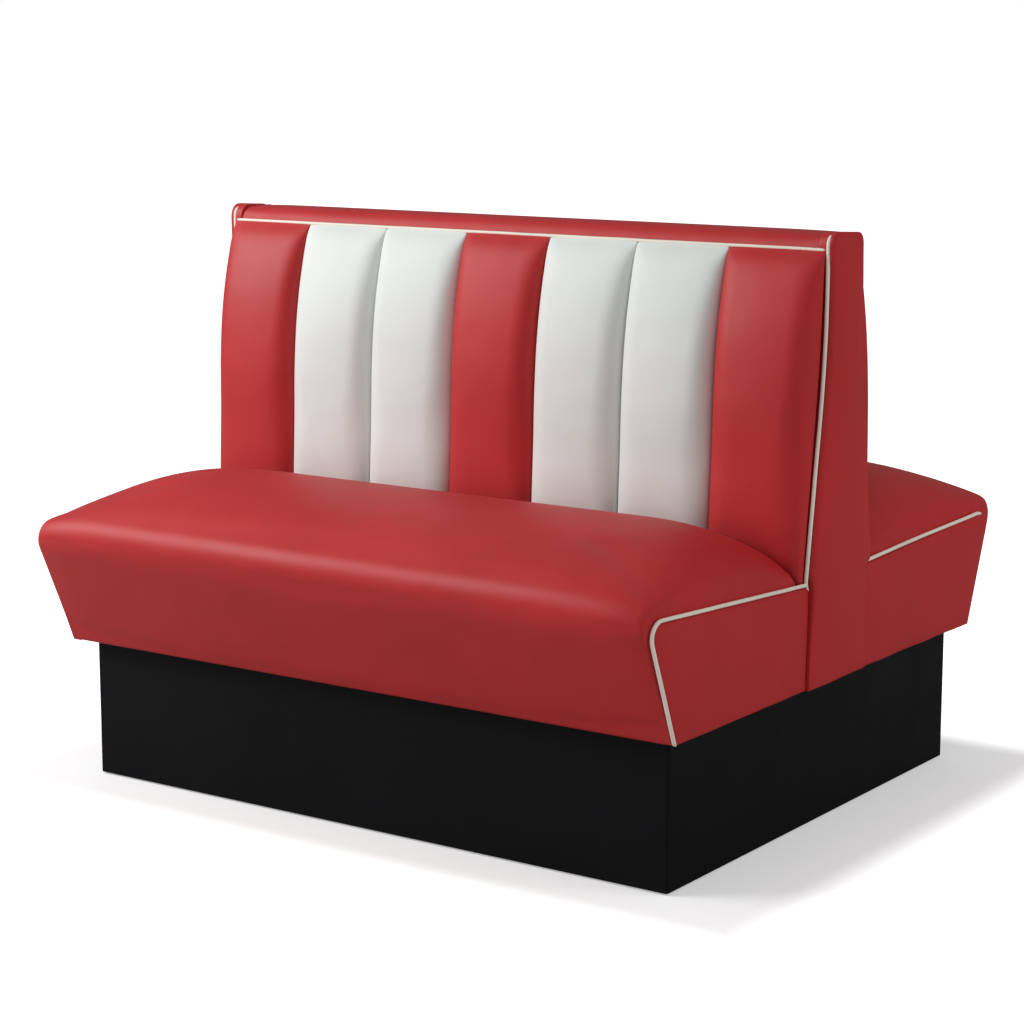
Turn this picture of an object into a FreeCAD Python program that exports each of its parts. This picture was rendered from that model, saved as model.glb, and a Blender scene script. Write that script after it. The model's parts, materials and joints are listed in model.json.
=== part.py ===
import FreeCAD, Part
import math
import os

# Double restaurant booth seat: two upholstered seats back to back on one plinth.
# X runs along the seat, the front seat faces -Y, the rear seat faces +Y, Z is up.
# The origin is on the floor, under the middle of the booth. All lengths are in millimetres.

V = FreeCAD.Vector
X_AXIS = V(1, 0, 0)
Z_AXIS = V(0, 0, 1)

# Plinth
glide_height = 3.0
glide_diameter = 32.0
plinth_set_back = 27.0
plinth_board_height = 234.5
plinth_board = 18.0
plinth_rib_height = 160.0
plinth_edge_round = 4.0
corner_block = 40.0

# Frame boards
gable_board = 18.0
rib_board = 18.0
front_board = 9.0
deck_board = 15.0
deck_top = 392.0
facing_board = 9.0
seat_back_clear = 0.3
breather_diameter = 40.0
breather_count = 2

# Upholstery
cover_thickness = 1.5
cover_clear = 0.2
apron_thickness = 6.0
sew_half_width = 597.0
end_pad_thickness = 15.0
piping_diameter = 8.0
piping_clear = 0.4
piping_sides = 8
seat_end_crown = 2.0
seat_end_round = 8.0

# Seat profile at the end seams, measured from the middle of the booth and from the floor
toe_reach = 488.0
end_nose_reach = 530.4
end_nose_level = 408.5
end_nose_radius = 24.0
end_rear_level = 409.0
end_top_radius = 20000.0

# Seat profile at the middle of the seat, where the crown is full
crown_nose_reach = 551.0
crown_nose_level = 440.0
crown_nose_radius = 36.0
crown_rear_level = 475.0
crown_top_radius = 556.0
crown_run = 200.0
rear_seam_reach = 100.0
rear_edge_radius = 18.0
end_rear_reach = 111.0
crown_rear_reach = 137.0

# Backrest profile
back_height = 950.0
back_half_top = 52.0
back_lean = 8.0
back_knee_drop = 179.0
back_knee_radius = 1430.0
back_corner_radius = 20.0
back_half_foot = 88.0
top_rail_height = 45.0
bottom_rail_height = 40.0
bottom_rail_depth = 120.0
top_piping_diameter = 6.0
top_piping_drop = 25.0
back_end_proud = 15.0
back_end_round = 9.0
shoulder_clear = 0.5

# Channels
channel_count = 7
channel_depth = 72.0
channel_clear = 0.3
channel_foot_clear = 1.0
channel_flank_share = 0.36
channel_shoulder_share = 0.43

# Bolts that hold the gables to the backrest rails
bolt_diameter = 8.0
bolt_length = 70.0
bolt_head_corners = 15.0
bolt_head_height = 5.3
bolt_clear = 0.2

# Depth of a channel as shares of channel_depth, at shares of the way from its foot to its top
channel_depth_shares = (
    (0.0, 0.22),
    (0.06, 0.34),
    (0.14, 0.45),
    (0.24, 0.53),
    (0.36, 0.64),
    (0.46, 0.82),
    (0.55, 0.95),
    (0.66, 1.0),
    (0.76, 0.92),
    (0.84, 0.74),
    (0.91, 0.50),
    (0.97, 0.22),
    (1.0, 0.06),
)

# Places of the seat's cross sections, as shares of crown_run from each end seam
crown_section_shares = (0.0, 0.015, 0.05, 0.11, 0.2, 0.35, 0.6, 1.0)
nose_rise_power = 0.3
top_rise_power = 0.76
sagitta_rise_power = 0.5

# Flat steps that stand for the round stretches of the stuffed forms
nose_steps = 6
crown_steps = 8
rear_edge_steps = 4
shoulder_steps = 3
crest_steps = 3

# Sizes that follow from the ones above
plinth_top = glide_height + plinth_board_height
plinth_half_width = sew_half_width - plinth_set_back
plinth_half_depth = toe_reach - plinth_set_back
frame_half_width = sew_half_width - end_pad_thickness
deck_bottom = deck_top - deck_board
piping_radius = piping_diameter / 2
top_piping_radius = top_piping_diameter / 2
top_piping_level = back_height - top_piping_drop
facing_top = top_piping_level - top_piping_radius - channel_clear
back_knee_level = back_height - back_knee_drop
board_inset = cover_thickness + apron_thickness
gable_inset = board_inset + front_board
pad_inset = piping_radius + piping_clear
cover_half_width = sew_half_width - piping_radius - piping_clear
seat_foot_reach = back_half_foot + seat_back_clear
channel_pitch = 2 * cover_half_width / channel_count


def point(y, z):
    return V(0, y, z)


def line(a, b):
    return Part.LineSegment(a, b).toShape()


def arc(a, middle, b):
    return Part.Arc(a, middle, b).toShape()


def on_circle(centre, radius, angle):
    return point(centre.y + radius * math.cos(angle), centre.z + radius * math.sin(angle))


def arc_points(centre, radius, start, stop, steps):
    # Points of a round stretch, with both its ends
    return [on_circle(centre, radius, start + (stop - start) * step / steps) for step in range(steps + 1)]


def angle_to(centre, target):
    return math.atan2(target.z - centre.z, target.y - centre.y)


def moved(shape, x):
    copy = shape.copy()
    copy.translate(V(x, 0, 0))
    return copy


def turned(shape):
    # The rear half of the booth is the front half, turned half a turn about the upright axis
    copy = shape.copy()
    copy.rotate(V(0, 0, 0), Z_AXIS, 180)
    return copy


def mirrored(shape):
    return shape.mirror(V(0, 0, 0), X_AXIS)


def box(x0, x1, y0, y1, z0, z1):
    return Part.makeBox(x1 - x0, y1 - y0, z1 - z0, V(x0, y0, z0))


def flat(points):
    return Part.Face(Part.makePolygon(points + points[:1]))


def faceted(rings):
    # Closed solid through rings of equally many points, joined by flat triangles
    faces = [flat(rings[0]), flat(rings[-1])]
    for low, high in zip(rings, rings[1:]):
        for a, b, c, d in zip(low, low[1:] + low[:1], high[1:] + high[:1], high):
            faces += [flat([a, b, c]), flat([a, c, d])]
    shell = Part.makeShell(faces)
    shell.sewShape()
    return Part.Solid(shell)


def slab(edges, x0, x1):
    # A flat board cut to the closed outline, which stands in the plane x = 0
    face = Part.Face(Part.Wire(edges))
    return moved(face.extrude(V(x1 - x0, 0, 0)), x0)


def rod(x0, x1, y, z, diameter):
    return Part.makeCylinder(diameter / 2, x1 - x0, V(x0, y, z), X_AXIS)


def hexagon(x0, x1, y, z, across_corners):
    corners = []
    for number in range(6):
        angle = math.pi * number / 3
        corners.append(on_circle(point(y, z), across_corners / 2, angle))
    return slab([line(a, b) for a, b in zip(corners, corners[1:] + corners[:1])], x0, x1)


def upright(x, y, z0, z1, diameter):
    return Part.makeCylinder(diameter / 2, z1 - z0, V(x, y, z0))


# Plinth

def plinth_front_board():
    # Runs the full width, with its two outer upright edges eased
    front = -plinth_half_depth
    board = box(-plinth_half_width, plinth_half_width, front, front + plinth_board, glide_height, plinth_top)
    half_way_up = (glide_height + plinth_top) / 2
    corners = []
    for edge in board.Edges:
        middle = edge.CenterOfMass
        at_middle = abs(middle.z - half_way_up) < corner_block
        if at_middle and middle.y < front + plinth_board / 2:
            corners.append(edge)
    return board.makeFillet(plinth_edge_round, corners)


def plinth_side_board():
    outer = plinth_half_width
    inner = plinth_half_depth - plinth_board
    return box(outer - plinth_board, outer, -inner, inner, glide_height, plinth_top)


def plinth_rib():
    inner = plinth_half_depth - plinth_board
    half = rib_board / 2
    return box(-half, half, -inner, inner, plinth_top - plinth_rib_height, plinth_top)


def corner_places():
    x = plinth_half_width - plinth_board - corner_block / 2
    y = plinth_half_depth - plinth_board - corner_block / 2
    return [(sx * x, sy * y) for sx in (-1, 1) for sy in (-1, 1)]


def corner_blocks():
    half = corner_block / 2
    blocks = []
    for x, y in corner_places():
        blocks.append(box(x - half, x + half, y - half, y + half, glide_height, plinth_top))
    return Part.makeCompound(blocks)


def floor_glides():
    glides = [upright(x, y, 0, glide_height, glide_diameter) for x, y in corner_places()]
    return Part.makeCompound(glides)


# Seat profile
# The front line rises from the toe and touches the nose arc, the nose arc touches the crown
# arc from inside, and the rear arc touches both the crown arc and the upright rear line.

def seat_profile(nose_rise, top_rise, sagitta_rise):
    nose = point(
        -(end_nose_reach + nose_rise * (crown_nose_reach - end_nose_reach)),
        end_nose_level + nose_rise * (crown_nose_level - end_nose_level),
    )
    nose_radius = end_nose_radius + nose_rise * (crown_nose_radius - end_nose_radius)
    toe = point(-toe_reach, plinth_top)
    reach = toe.distanceToPoint(nose)
    lean = angle_to(toe, nose) + math.asin(nose_radius / reach)
    curve = (1 - sagitta_rise) / end_top_radius + sagitta_rise / crown_top_radius
    top_radius = 1 / curve
    rear = point(-rear_seam_reach, end_rear_level + top_rise * (crown_rear_level - end_rear_level))
    top = crown_centre(nose, nose_radius, rear, top_radius)
    rear_line = -(end_rear_reach + nose_rise * (crown_rear_reach - end_rear_reach))
    edge_y = rear_line - rear_edge_radius
    fall = math.sqrt((top_radius - rear_edge_radius) ** 2 - (edge_y - top.y) ** 2)
    edge = point(edge_y, top.z + fall)
    return {
        "toe": toe,
        "lean": lean,
        "nose": nose,
        "nose_radius": nose_radius,
        "top": top,
        "top_radius": top_radius,
        "edge": edge,
    }


def crown_centre(nose, nose_radius, rear, top_radius):
    # Centre of the circle that holds the nose circle inside it and passes through the rear point
    near = top_radius - nose_radius
    gap = nose.distanceToPoint(rear)
    along = (near ** 2 - top_radius ** 2 + gap ** 2) / (2 * gap)
    aside = math.sqrt(near ** 2 - along ** 2)
    unit = (rear - nose) * (1 / gap)
    down = point(unit.z, -unit.y)
    return nose + unit * along + down * aside


def seam_outline(inset):
    # Front line, nose arc and straight top line of the end seam, moved in by the inset
    profile = seam_profile()
    nose, rear = profile["nose"], point(-rear_seam_reach, end_rear_level)
    radius = profile["nose_radius"]
    fall = angle_to(nose, rear) - math.asin(radius / rear.distanceToPoint(nose))
    outward = profile["lean"] + math.pi / 2
    upward = fall + math.pi / 2
    start = front_line_at(profile, inset, plinth_top)
    a = on_circle(nose, radius - inset, outward)
    b = on_circle(nose, radius - inset, upward)
    run = -seat_foot_reach - rear.y
    c = point(-seat_foot_reach, rear.z + run * math.tan(fall) - inset / math.cos(fall))
    middle = on_circle(nose, radius - inset, (outward + upward) / 2)
    return [line(start, a), arc(a, middle, b), line(b, c)], start, c


def front_line_at(profile, inset, z):
    # Point of the front line, moved in by the inset, at the given level
    lean = profile["lean"]
    inward = point(math.sin(lean), -math.cos(lean))
    start = profile["toe"] + inward * inset
    run = (z - start.z) / math.sin(lean)
    return point(start.y + run * math.cos(lean), z)


def skin_points(profile, inset, foot, heel):
    # Front line, nose arc, crown arc, rear arc and rear line of the profile, moved in by the inset
    nose, top, edge = profile["nose"], profile["top"], profile["edge"]
    nose_radius = profile["nose_radius"] - inset
    edge_radius = rear_edge_radius - inset
    outward = profile["lean"] + math.pi / 2
    to_nose = angle_to(top, nose)
    to_edge = angle_to(top, edge)
    points = [front_line_at(profile, inset, foot)]
    points += arc_points(nose, nose_radius, outward, to_nose, nose_steps)
    points += arc_points(top, profile["top_radius"] - inset, to_nose, to_edge, crown_steps)[1:-1]
    points += arc_points(edge, edge_radius, to_edge, 0, rear_edge_steps)
    return points + [point(edge.y + edge_radius, heel)]


def seam_profile():
    return seat_profile(0, 0, 0)


def crown_places():
    # Distance from the end seam of each cross section, and the rises of the profile there
    places = []
    for share in crown_section_shares:
        base = 1 - (1 - share) ** 2
        places.append((
            share * crown_run,
            base ** nose_rise_power if share else 0,
            base ** top_rise_power if share else 0,
            base ** sagitta_rise_power if share else 0,
        ))
    return places


def seat_form(ring):
    # Form through one ring of points, carried from the left end over the middle to the right end
    rings = []
    for distance, nose_rise, top_rise, sagitta_rise in crown_places():
        points = ring(seat_profile(nose_rise, top_rise, sagitta_rise))
        rings.append((cover_half_width - distance, points))
    rings = [(-x, points) for x, points in rings] + rings[::-1]
    return faceted([[p + X_AXIS * x for p in points] for x, points in rings])


def foam_ring(profile):
    # Run the same way as the cover's inner side, so that the triangles of the two lie side by side
    points = skin_points(profile, cover_thickness + cover_clear, plinth_top, deck_top)
    board_top = front_line_at(seam_profile(), board_inset, deck_top)
    board_foot = front_line_at(seam_profile(), board_inset, plinth_top)
    return [board_foot, board_top] + points[::-1]


def cover_ring(profile):
    heel = deck_top + cover_clear
    outer = skin_points(profile, 0, plinth_top, heel)
    inner = skin_points(profile, cover_thickness, plinth_top, heel)
    return outer + inner[::-1]


def without_end_pads(shape):
    # The end pads stand beside the frame and reach up to just under the end seams
    room = slab(seat_end_edges(pad_inset - piping_clear), frame_half_width, sew_half_width)
    return shape.cut(room).cut(mirrored(room))


def seat_foam():
    return without_end_pads(seat_form(foam_ring))


def seat_cover():
    return without_end_pads(seat_form(cover_ring))


# Seat ends

def seat_end_edges(inset):
    # Closed outline of the seat end, moved in from the end seam
    edges, start, end = seam_outline(inset)
    corner = point(end.y, plinth_top)
    return edges + [line(end, corner), line(corner, start)]


def seat_end_pad():
    # Flat side panel whose outer edge rolls over, with a slight crown
    rim = sew_half_width - seat_end_crown
    places = (
        (frame_half_width, pad_inset),
        (rim - seat_end_crown, pad_inset),
        (rim, pad_inset + seat_end_round / 4),
        (sew_half_width, pad_inset + seat_end_round),
    )
    wires = [moved(Part.Wire(seat_end_edges(inset)), x) for x, inset in places]
    return Part.makeLoft(wires, True, True)


def seat_piping():
    # Cord along the end seam, from the plinth round the nose to the backrest
    edges = seam_outline(0)[0]
    return moved(tube(edges, piping_radius), sew_half_width)


def tube(edges, radius):
    # Cord with a faceted round section along edges that run smoothly into each other
    path = Part.Wire(edges)
    start = edges[0].Vertexes[0].Point
    ahead = edges[0].tangentAt(edges[0].FirstParameter)
    aside = ahead.cross(X_AXIS)
    corners = []
    for number in range(piping_sides):
        angle = 2 * math.pi * (number + 0.5) / piping_sides
        corners.append(start + X_AXIS * (radius * math.cos(angle)) + aside * (radius * math.sin(angle)))
    ring = Part.makePolygon(corners + corners[:1])
    return path.makePipeShell([ring], True, False)


# Seat box

def seat_board_edges(inset, top):
    # Outline of an upright board under the deck, behind the leaning front
    profile = seam_profile()
    foot = front_line_at(profile, inset, plinth_top)
    head = front_line_at(profile, inset, top)
    rear = -seat_foot_reach
    return [
        line(foot, head),
        line(head, point(rear, top)),
        line(point(rear, top), point(rear, plinth_top)),
        line(point(rear, plinth_top), foot),
    ]


def seat_gable():
    return slab(seat_board_edges(gable_inset, deck_bottom), frame_half_width - gable_board, frame_half_width)


def seat_rib():
    half = rib_board / 2
    return slab(seat_board_edges(gable_inset, deck_bottom), -half, half)


def seat_front_board():
    profile = seam_profile()
    corners = [
        front_line_at(profile, board_inset, plinth_top),
        front_line_at(profile, board_inset, deck_bottom),
        front_line_at(profile, gable_inset, deck_bottom),
        front_line_at(profile, gable_inset, plinth_top),
    ]
    edges = [line(a, b) for a, b in zip(corners, corners[1:] + corners[:1])]
    return slab(edges, -frame_half_width, frame_half_width)


def seat_deck():
    profile = seam_profile()
    rear = -seat_foot_reach
    corners = [
        front_line_at(profile, board_inset, deck_bottom),
        front_line_at(profile, board_inset, deck_top),
        point(rear, deck_top),
        point(rear, deck_bottom),
    ]
    edges = [line(a, b) for a, b in zip(corners, corners[1:] + corners[:1])]
    deck = slab(edges, -frame_half_width, frame_half_width)
    middle = (corners[0].y + rear) / 2
    for number in range(breather_count):
        x = frame_half_width * ((2 * number + 1) / breather_count - 1)
        deck = deck.cut(upright(x, middle, deck_bottom, deck_top, breather_diameter))
    return deck


# Backrest profile
# One side runs up a leaning line, bends at the knee and rises upright to the top corner.

def back_reach(inset, z):
    # Distance of the leaning or upright part of the profile from the middle, at one level
    lean = math.radians(back_lean)
    tangent = back_knee_radius * math.tan(lean / 2)
    centre_y = back_half_top + back_knee_radius
    if z >= back_knee_level + tangent:
        return back_half_top - inset
    if z <= back_knee_level - tangent * math.cos(lean):
        return back_half_top + (back_knee_level - z) * math.tan(lean) - inset / math.cos(lean)
    rise = back_knee_level + tangent - z
    return centre_y - math.sqrt((back_knee_radius + inset) ** 2 - rise ** 2)


def knee_edges(inset, low, high):
    # Leaning line, knee arc and upright line of the front side, from low to high
    lean = math.radians(back_lean)
    tangent = back_knee_radius * math.tan(lean / 2)
    centre = point(-(back_half_top + back_knee_radius), back_knee_level + tangent)
    radius = back_knee_radius + inset
    foot = point(-back_reach(inset, low), low)
    a = on_circle(centre, radius, -lean)
    middle = on_circle(centre, radius, -lean / 2)
    b = on_circle(centre, radius, 0)
    head = point(b.y, high)
    return [line(foot, a), arc(a, middle, b), line(b, head)], foot, head


def other_side(edges):
    # The same edges on the rear side, run the other way
    flipped = []
    for edge in reversed(edges):
        flipped.append(edge.mirror(V(0, 0, 0), V(0, 1, 0)).reversed())
    return flipped


def corner_edges(inset):
    # Top corner of the front side, from the upright line to the flat top
    radius = back_corner_radius - inset
    centre = point(-(back_half_top - back_corner_radius), back_height - back_corner_radius)
    a = on_circle(centre, radius, math.pi)
    middle = on_circle(centre, radius, math.pi * 3 / 4)
    b = on_circle(centre, radius, math.pi / 2)
    return [arc(a, middle, b)], b


def flipped_point(p):
    return point(-p.y, p.z)


def back_facing():
    outer, foot, head = knee_edges(0, deck_top, facing_top)
    inner, inner_foot, inner_head = knee_edges(facing_board, deck_top, facing_top)
    back = [edge.reversed() for edge in reversed(inner)]
    edges = outer + [line(head, inner_head)] + back + [line(inner_foot, foot)]
    return slab(edges, -frame_half_width, frame_half_width)


def back_gable():
    side, foot, head = knee_edges(facing_board, deck_top, facing_top)
    toe = point(-back_half_foot, plinth_top)
    heel = point(-back_half_foot, deck_top)
    front = [line(toe, heel), line(heel, foot)] + side
    edges = front + [line(head, flipped_point(head))] + other_side(front)
    edges.append(line(flipped_point(toe), toe))
    gable = slab(edges, frame_half_width - gable_board, frame_half_width)
    recess = frame_half_width - bolt_head_height - bolt_clear
    for z in bolt_levels():
        gable = gable.cut(rod(0, frame_half_width, 0, z, bolt_diameter + 2 * bolt_clear))
        gable = gable.cut(rod(recess, sew_half_width, 0, z, bolt_head_corners + 2 * bolt_clear))
    return gable


def back_rib():
    rail_foot = facing_top - top_rail_height
    side, foot, head = knee_edges(facing_board, deck_top, rail_foot)
    toe = point(-back_half_foot, plinth_top + bottom_rail_height)
    heel = point(-back_half_foot, deck_top)
    front = [line(toe, heel), line(heel, foot)] + side
    edges = front + [line(head, flipped_point(head))] + other_side(front)
    edges.append(line(flipped_point(toe), toe))
    return slab(edges, -rib_board / 2, rib_board / 2)


def with_bolt_holes(rail):
    for z in bolt_levels():
        bottom = frame_half_width - bolt_length - bolt_clear
        hole = rod(bottom, frame_half_width, 0, z, bolt_diameter + 2 * bolt_clear)
        rail = rail.cut(hole).cut(mirrored(hole))
    return rail


def back_top_rail():
    half = frame_half_width - gable_board
    reach = back_half_top - facing_board
    return with_bolt_holes(box(-half, half, -reach, reach, facing_top - top_rail_height, facing_top))


def back_bottom_rail():
    half = frame_half_width - gable_board
    reach = bottom_rail_depth / 2
    return with_bolt_holes(box(-half, half, -reach, reach, plinth_top, plinth_top + bottom_rail_height))


def bolt_levels():
    return (facing_top - top_rail_height / 2, plinth_top + bottom_rail_height / 2)


def rail_bolts():
    bolts = []
    for z in bolt_levels():
        shank = rod(frame_half_width - bolt_length, frame_half_width - bolt_head_height, 0, z, bolt_diameter)
        head = hexagon(frame_half_width - bolt_head_height, frame_half_width, 0, z, bolt_head_corners)
        bolt = shank.fuse(head)
        bolts += [bolt, mirrored(bolt)]
    return Part.makeCompound(bolts)


# Channels

def channel_ring(depth, z):
    # Flat back on the facing, straight flanks that press on the neighbours, a rounded shoulder
    # on each side and one wide crest arc that touches both shoulders
    back = -(back_reach(0, z) + channel_clear)
    half = channel_pitch / 2 - channel_clear / 2
    flank = channel_flank_share * depth
    shoulder = channel_shoulder_share * depth
    turn = 2 * math.atan((depth - flank - shoulder) / (half - shoulder))
    crest = shoulder + (half - shoulder) / math.sin(turn)
    meet = math.pi / 2 - turn
    side = [point(half, 0)]
    side += arc_points(point(half - shoulder, flank), shoulder, 0, meet, shoulder_steps)
    side += arc_points(point(0, depth - crest), crest, meet, math.pi / 2, crest_steps)[1:]
    other = [flipped_point(p) for p in reversed(side[:-1])]
    return [V(p.y, back - p.z, z) for p in side + other]


def channel_pad():
    foot = end_rear_level - pad_inset + channel_foot_clear
    rings = []
    for along, share in channel_depth_shares:
        rings.append(channel_ring(share * channel_depth, foot + along * (facing_top - foot)))
    return faceted(rings)


def channel_place(number):
    return (number - (channel_count + 1) / 2) * channel_pitch


# Backrest top and ends

def roll_edges(inset, foot):
    # Section of the top roll: short upright sides, rounded corners and a flat top
    corner, top = corner_edges(inset)
    start = corner[0].Vertexes[0].Point
    low = point(start.y, foot)
    front = [line(low, start)] + corner
    return front + [line(top, flipped_point(top))] + other_side(front), low


def top_foam():
    inset = cover_thickness + cover_clear + channel_clear
    edges, low = roll_edges(inset, top_piping_level + top_piping_radius + piping_clear)
    half = back_half_top - top_piping_radius - piping_clear
    neck = point(-half, low.z)
    foot = point(-half, facing_top)
    outline = edges + [
        line(flipped_point(low), flipped_point(neck)),
        line(flipped_point(neck), flipped_point(foot)),
        line(flipped_point(foot), foot),
        line(foot, neck),
        line(neck, low),
    ]
    return slab(outline, -frame_half_width, frame_half_width)


def top_cover():
    foot = top_piping_level + top_piping_radius + piping_clear
    outer, low = roll_edges(0, foot)
    inner, inner_low = roll_edges(cover_thickness, foot)
    back = [edge.reversed() for edge in reversed(inner)]
    edges = outer + [line(flipped_point(low), flipped_point(inner_low))] + back + [line(inner_low, low)]
    return slab(edges, -cover_half_width, cover_half_width)


def shoulder_level():
    # The end panel widens just above the seat's piping
    end = seam_outline(0)[2]
    return end.z + piping_radius + shoulder_clear


def back_end_wire(inset, x):
    shoulder = shoulder_level() + inset
    side, foot = knee_edges(pad_inset + inset, shoulder, back_height - back_corner_radius)[:2]
    corner, top = corner_edges(pad_inset + inset)
    toe = point(-(back_half_foot - inset), plinth_top + inset)
    heel = point(-(back_half_foot - inset), shoulder)
    front = [line(toe, heel), line(heel, foot)] + side + corner
    edges = front + [line(top, flipped_point(top))] + other_side(front)
    edges.append(line(flipped_point(toe), toe))
    return moved(Part.Wire(edges), x)


def back_end_pad():
    rim = sew_half_width + back_end_proud
    wires = [
        back_end_wire(0, frame_half_width),
        back_end_wire(0, rim - back_end_round),
        back_end_wire(back_end_round / 4, rim - back_end_round / 4),
        back_end_wire(back_end_round, rim),
    ]
    return Part.makeLoft(wires, True, True)


def back_piping():
    # Cord up the front edge of the end panel, over the top and down the rear edge
    low = shoulder_level() + piping_clear
    side = knee_edges(0, low, back_height - back_corner_radius)[0]
    corner, top = corner_edges(0)
    front = side + corner
    path = front + [line(top, flipped_point(top))] + other_side(front)
    return moved(tube(path, piping_radius), sew_half_width)


def top_piping():
    return rod(-cover_half_width, cover_half_width, -back_half_top, top_piping_level, top_piping_diameter)


def make_parts():
    parts = {}
    front_plinth = plinth_front_board()
    side_plinth = plinth_side_board()
    parts["plinth_front_board"] = front_plinth
    parts["plinth_rear_board"] = turned(front_plinth)
    parts["plinth_right_board"] = side_plinth
    parts["plinth_left_board"] = mirrored(side_plinth)
    parts["plinth_rib"] = plinth_rib()
    parts["plinth_corner_blocks"] = corner_blocks()
    parts["floor_glides"] = floor_glides()

    whole = {
        "front_board": seat_front_board(),
        "rib": seat_rib(),
        "deck": seat_deck(),
        "foam": seat_foam(),
        "cover": seat_cover(),
    }
    ends = {
        "gable": seat_gable(),
        "end_pad": seat_end_pad(),
        "piping": seat_piping(),
    }
    for name, shape in whole.items():
        parts["front_seat_" + name] = shape
        parts["rear_seat_" + name] = turned(shape)
    for name, shape in ends.items():
        parts["front_seat_" + name + "_right"] = shape
        parts["front_seat_" + name + "_left"] = mirrored(shape)
        parts["rear_seat_" + name + "_left"] = turned(shape)
        parts["rear_seat_" + name + "_right"] = turned(mirrored(shape))

    facing = back_facing()
    parts["back_front_facing"] = facing
    parts["back_rear_facing"] = turned(facing)
    parts["back_rib"] = back_rib()
    parts["back_top_rail"] = back_top_rail()
    parts["back_bottom_rail"] = back_bottom_rail()
    parts["back_top_foam"] = top_foam()
    parts["back_top_cover"] = top_cover()
    for name, shape in (("gable", back_gable()), ("end_pad", back_end_pad()), ("piping", back_piping())):
        parts["back_" + name + "_right"] = shape
        parts["back_" + name + "_left"] = mirrored(shape)
    cord = top_piping()
    parts["back_top_piping_front"] = cord
    parts["back_top_piping_rear"] = turned(cord)
    parts["back_rail_bolts"] = rail_bolts()

    pad = channel_pad()
    for number in range(1, channel_count + 1):
        channel = moved(pad, channel_place(number))
        parts["front_channel_%d" % number] = channel
        parts["rear_channel_%d" % number] = turned(channel)
    return parts


def main():
    os.makedirs("parts", exist_ok=True)
    total = Part.makeCompound([])
    for name, shape in make_parts().items():
        bad = "" if shape.isValid() else "  not valid"
        print("%-28s %2d solids %9.0f cm3%s" % (name, len(shape.Solids), shape.Volume / 1000, bad))
        shape.exportStep("parts/" + name + ".step")
        total.add(shape)
    size = total.BoundBox
    print("whole %.1f x %.1f x %.1f mm, lowest %.1f" % (size.XLength, size.YLength, size.ZLength, size.ZMin))


main()
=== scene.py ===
# %% [markdown]
# # A back-to-back restaurant booth, dressed in vinyl
#
# The construction is already there: boards, foam and covers at their real size. This lesson puts
# the looks around it. Every soft piece is built as its own sewn form, filled by a short cloth
# simulation, and given the finish of the real thing. Lengths are written in millimetres and turned
# to metres by one small function, so that every number can be compared with a tape measure.

# %% Load the fixed model
import bpy
import bmesh
import json
import math
import random
import time
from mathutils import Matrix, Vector, noise


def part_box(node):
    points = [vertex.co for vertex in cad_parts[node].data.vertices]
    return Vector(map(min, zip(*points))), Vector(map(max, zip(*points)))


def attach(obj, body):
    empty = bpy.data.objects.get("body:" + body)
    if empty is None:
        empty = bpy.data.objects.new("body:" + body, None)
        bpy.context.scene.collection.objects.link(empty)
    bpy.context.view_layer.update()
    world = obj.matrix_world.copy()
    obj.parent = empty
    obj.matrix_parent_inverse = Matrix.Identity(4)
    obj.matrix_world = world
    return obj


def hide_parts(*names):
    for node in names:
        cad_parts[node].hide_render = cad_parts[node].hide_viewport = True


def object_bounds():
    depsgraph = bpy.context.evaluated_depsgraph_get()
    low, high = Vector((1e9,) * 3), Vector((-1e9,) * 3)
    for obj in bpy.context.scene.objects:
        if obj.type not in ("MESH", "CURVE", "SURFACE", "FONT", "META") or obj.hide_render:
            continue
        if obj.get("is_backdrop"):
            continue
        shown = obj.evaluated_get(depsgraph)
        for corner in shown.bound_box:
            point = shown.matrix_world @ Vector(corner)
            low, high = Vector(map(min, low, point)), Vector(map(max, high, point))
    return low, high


bpy.context.scene.view_settings.view_transform = "Standard"
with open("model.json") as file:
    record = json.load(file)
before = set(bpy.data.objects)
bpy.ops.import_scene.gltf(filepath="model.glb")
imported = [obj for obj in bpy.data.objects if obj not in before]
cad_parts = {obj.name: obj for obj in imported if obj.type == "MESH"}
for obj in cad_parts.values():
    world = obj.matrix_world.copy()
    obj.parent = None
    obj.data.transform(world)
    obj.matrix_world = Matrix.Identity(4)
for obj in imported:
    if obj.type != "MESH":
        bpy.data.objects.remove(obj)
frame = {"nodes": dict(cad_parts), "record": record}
model_low, model_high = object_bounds()
started = time.time()


def mm(length):
    return length / 1000


def print_size(label, low, high):
    print(label, "%.0f x %.0f x %.0f mm" % tuple((b - a) * 1000 for a, b in zip(low, high)))


print_size("model", model_low, model_high)

# %% [markdown]
# ## Sizes that the upholstery follows
#
# The end seams stand in two upright planes. The cover, the end panels and the piping all meet
# there, so the seam plane is the first size, and the others are measured from it. The profile of
# the seat changes from a low, tight line at the end seams to a full crown in the middle, so it
# needs two sets of sizes and a rule for the way between them.

# %% Named sizes, in millimetres
SEW_HALF_WIDTH = 597.0
PIPING_DIAMETER = 8.0
SEAM_GAP = 0.4
COVER_HALF_WIDTH = SEW_HALF_WIDTH - PIPING_DIAMETER / 2 - SEAM_GAP
PANEL_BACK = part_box("back_gable_right")[1].x * 1000
BODY_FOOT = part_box("front_seat_gable_right")[0].z * 1000
DECK_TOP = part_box("front_seat_deck")[1].z * 1000
SEAT_REAR = 88.3
BOARD_INSET = 7.5

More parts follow.
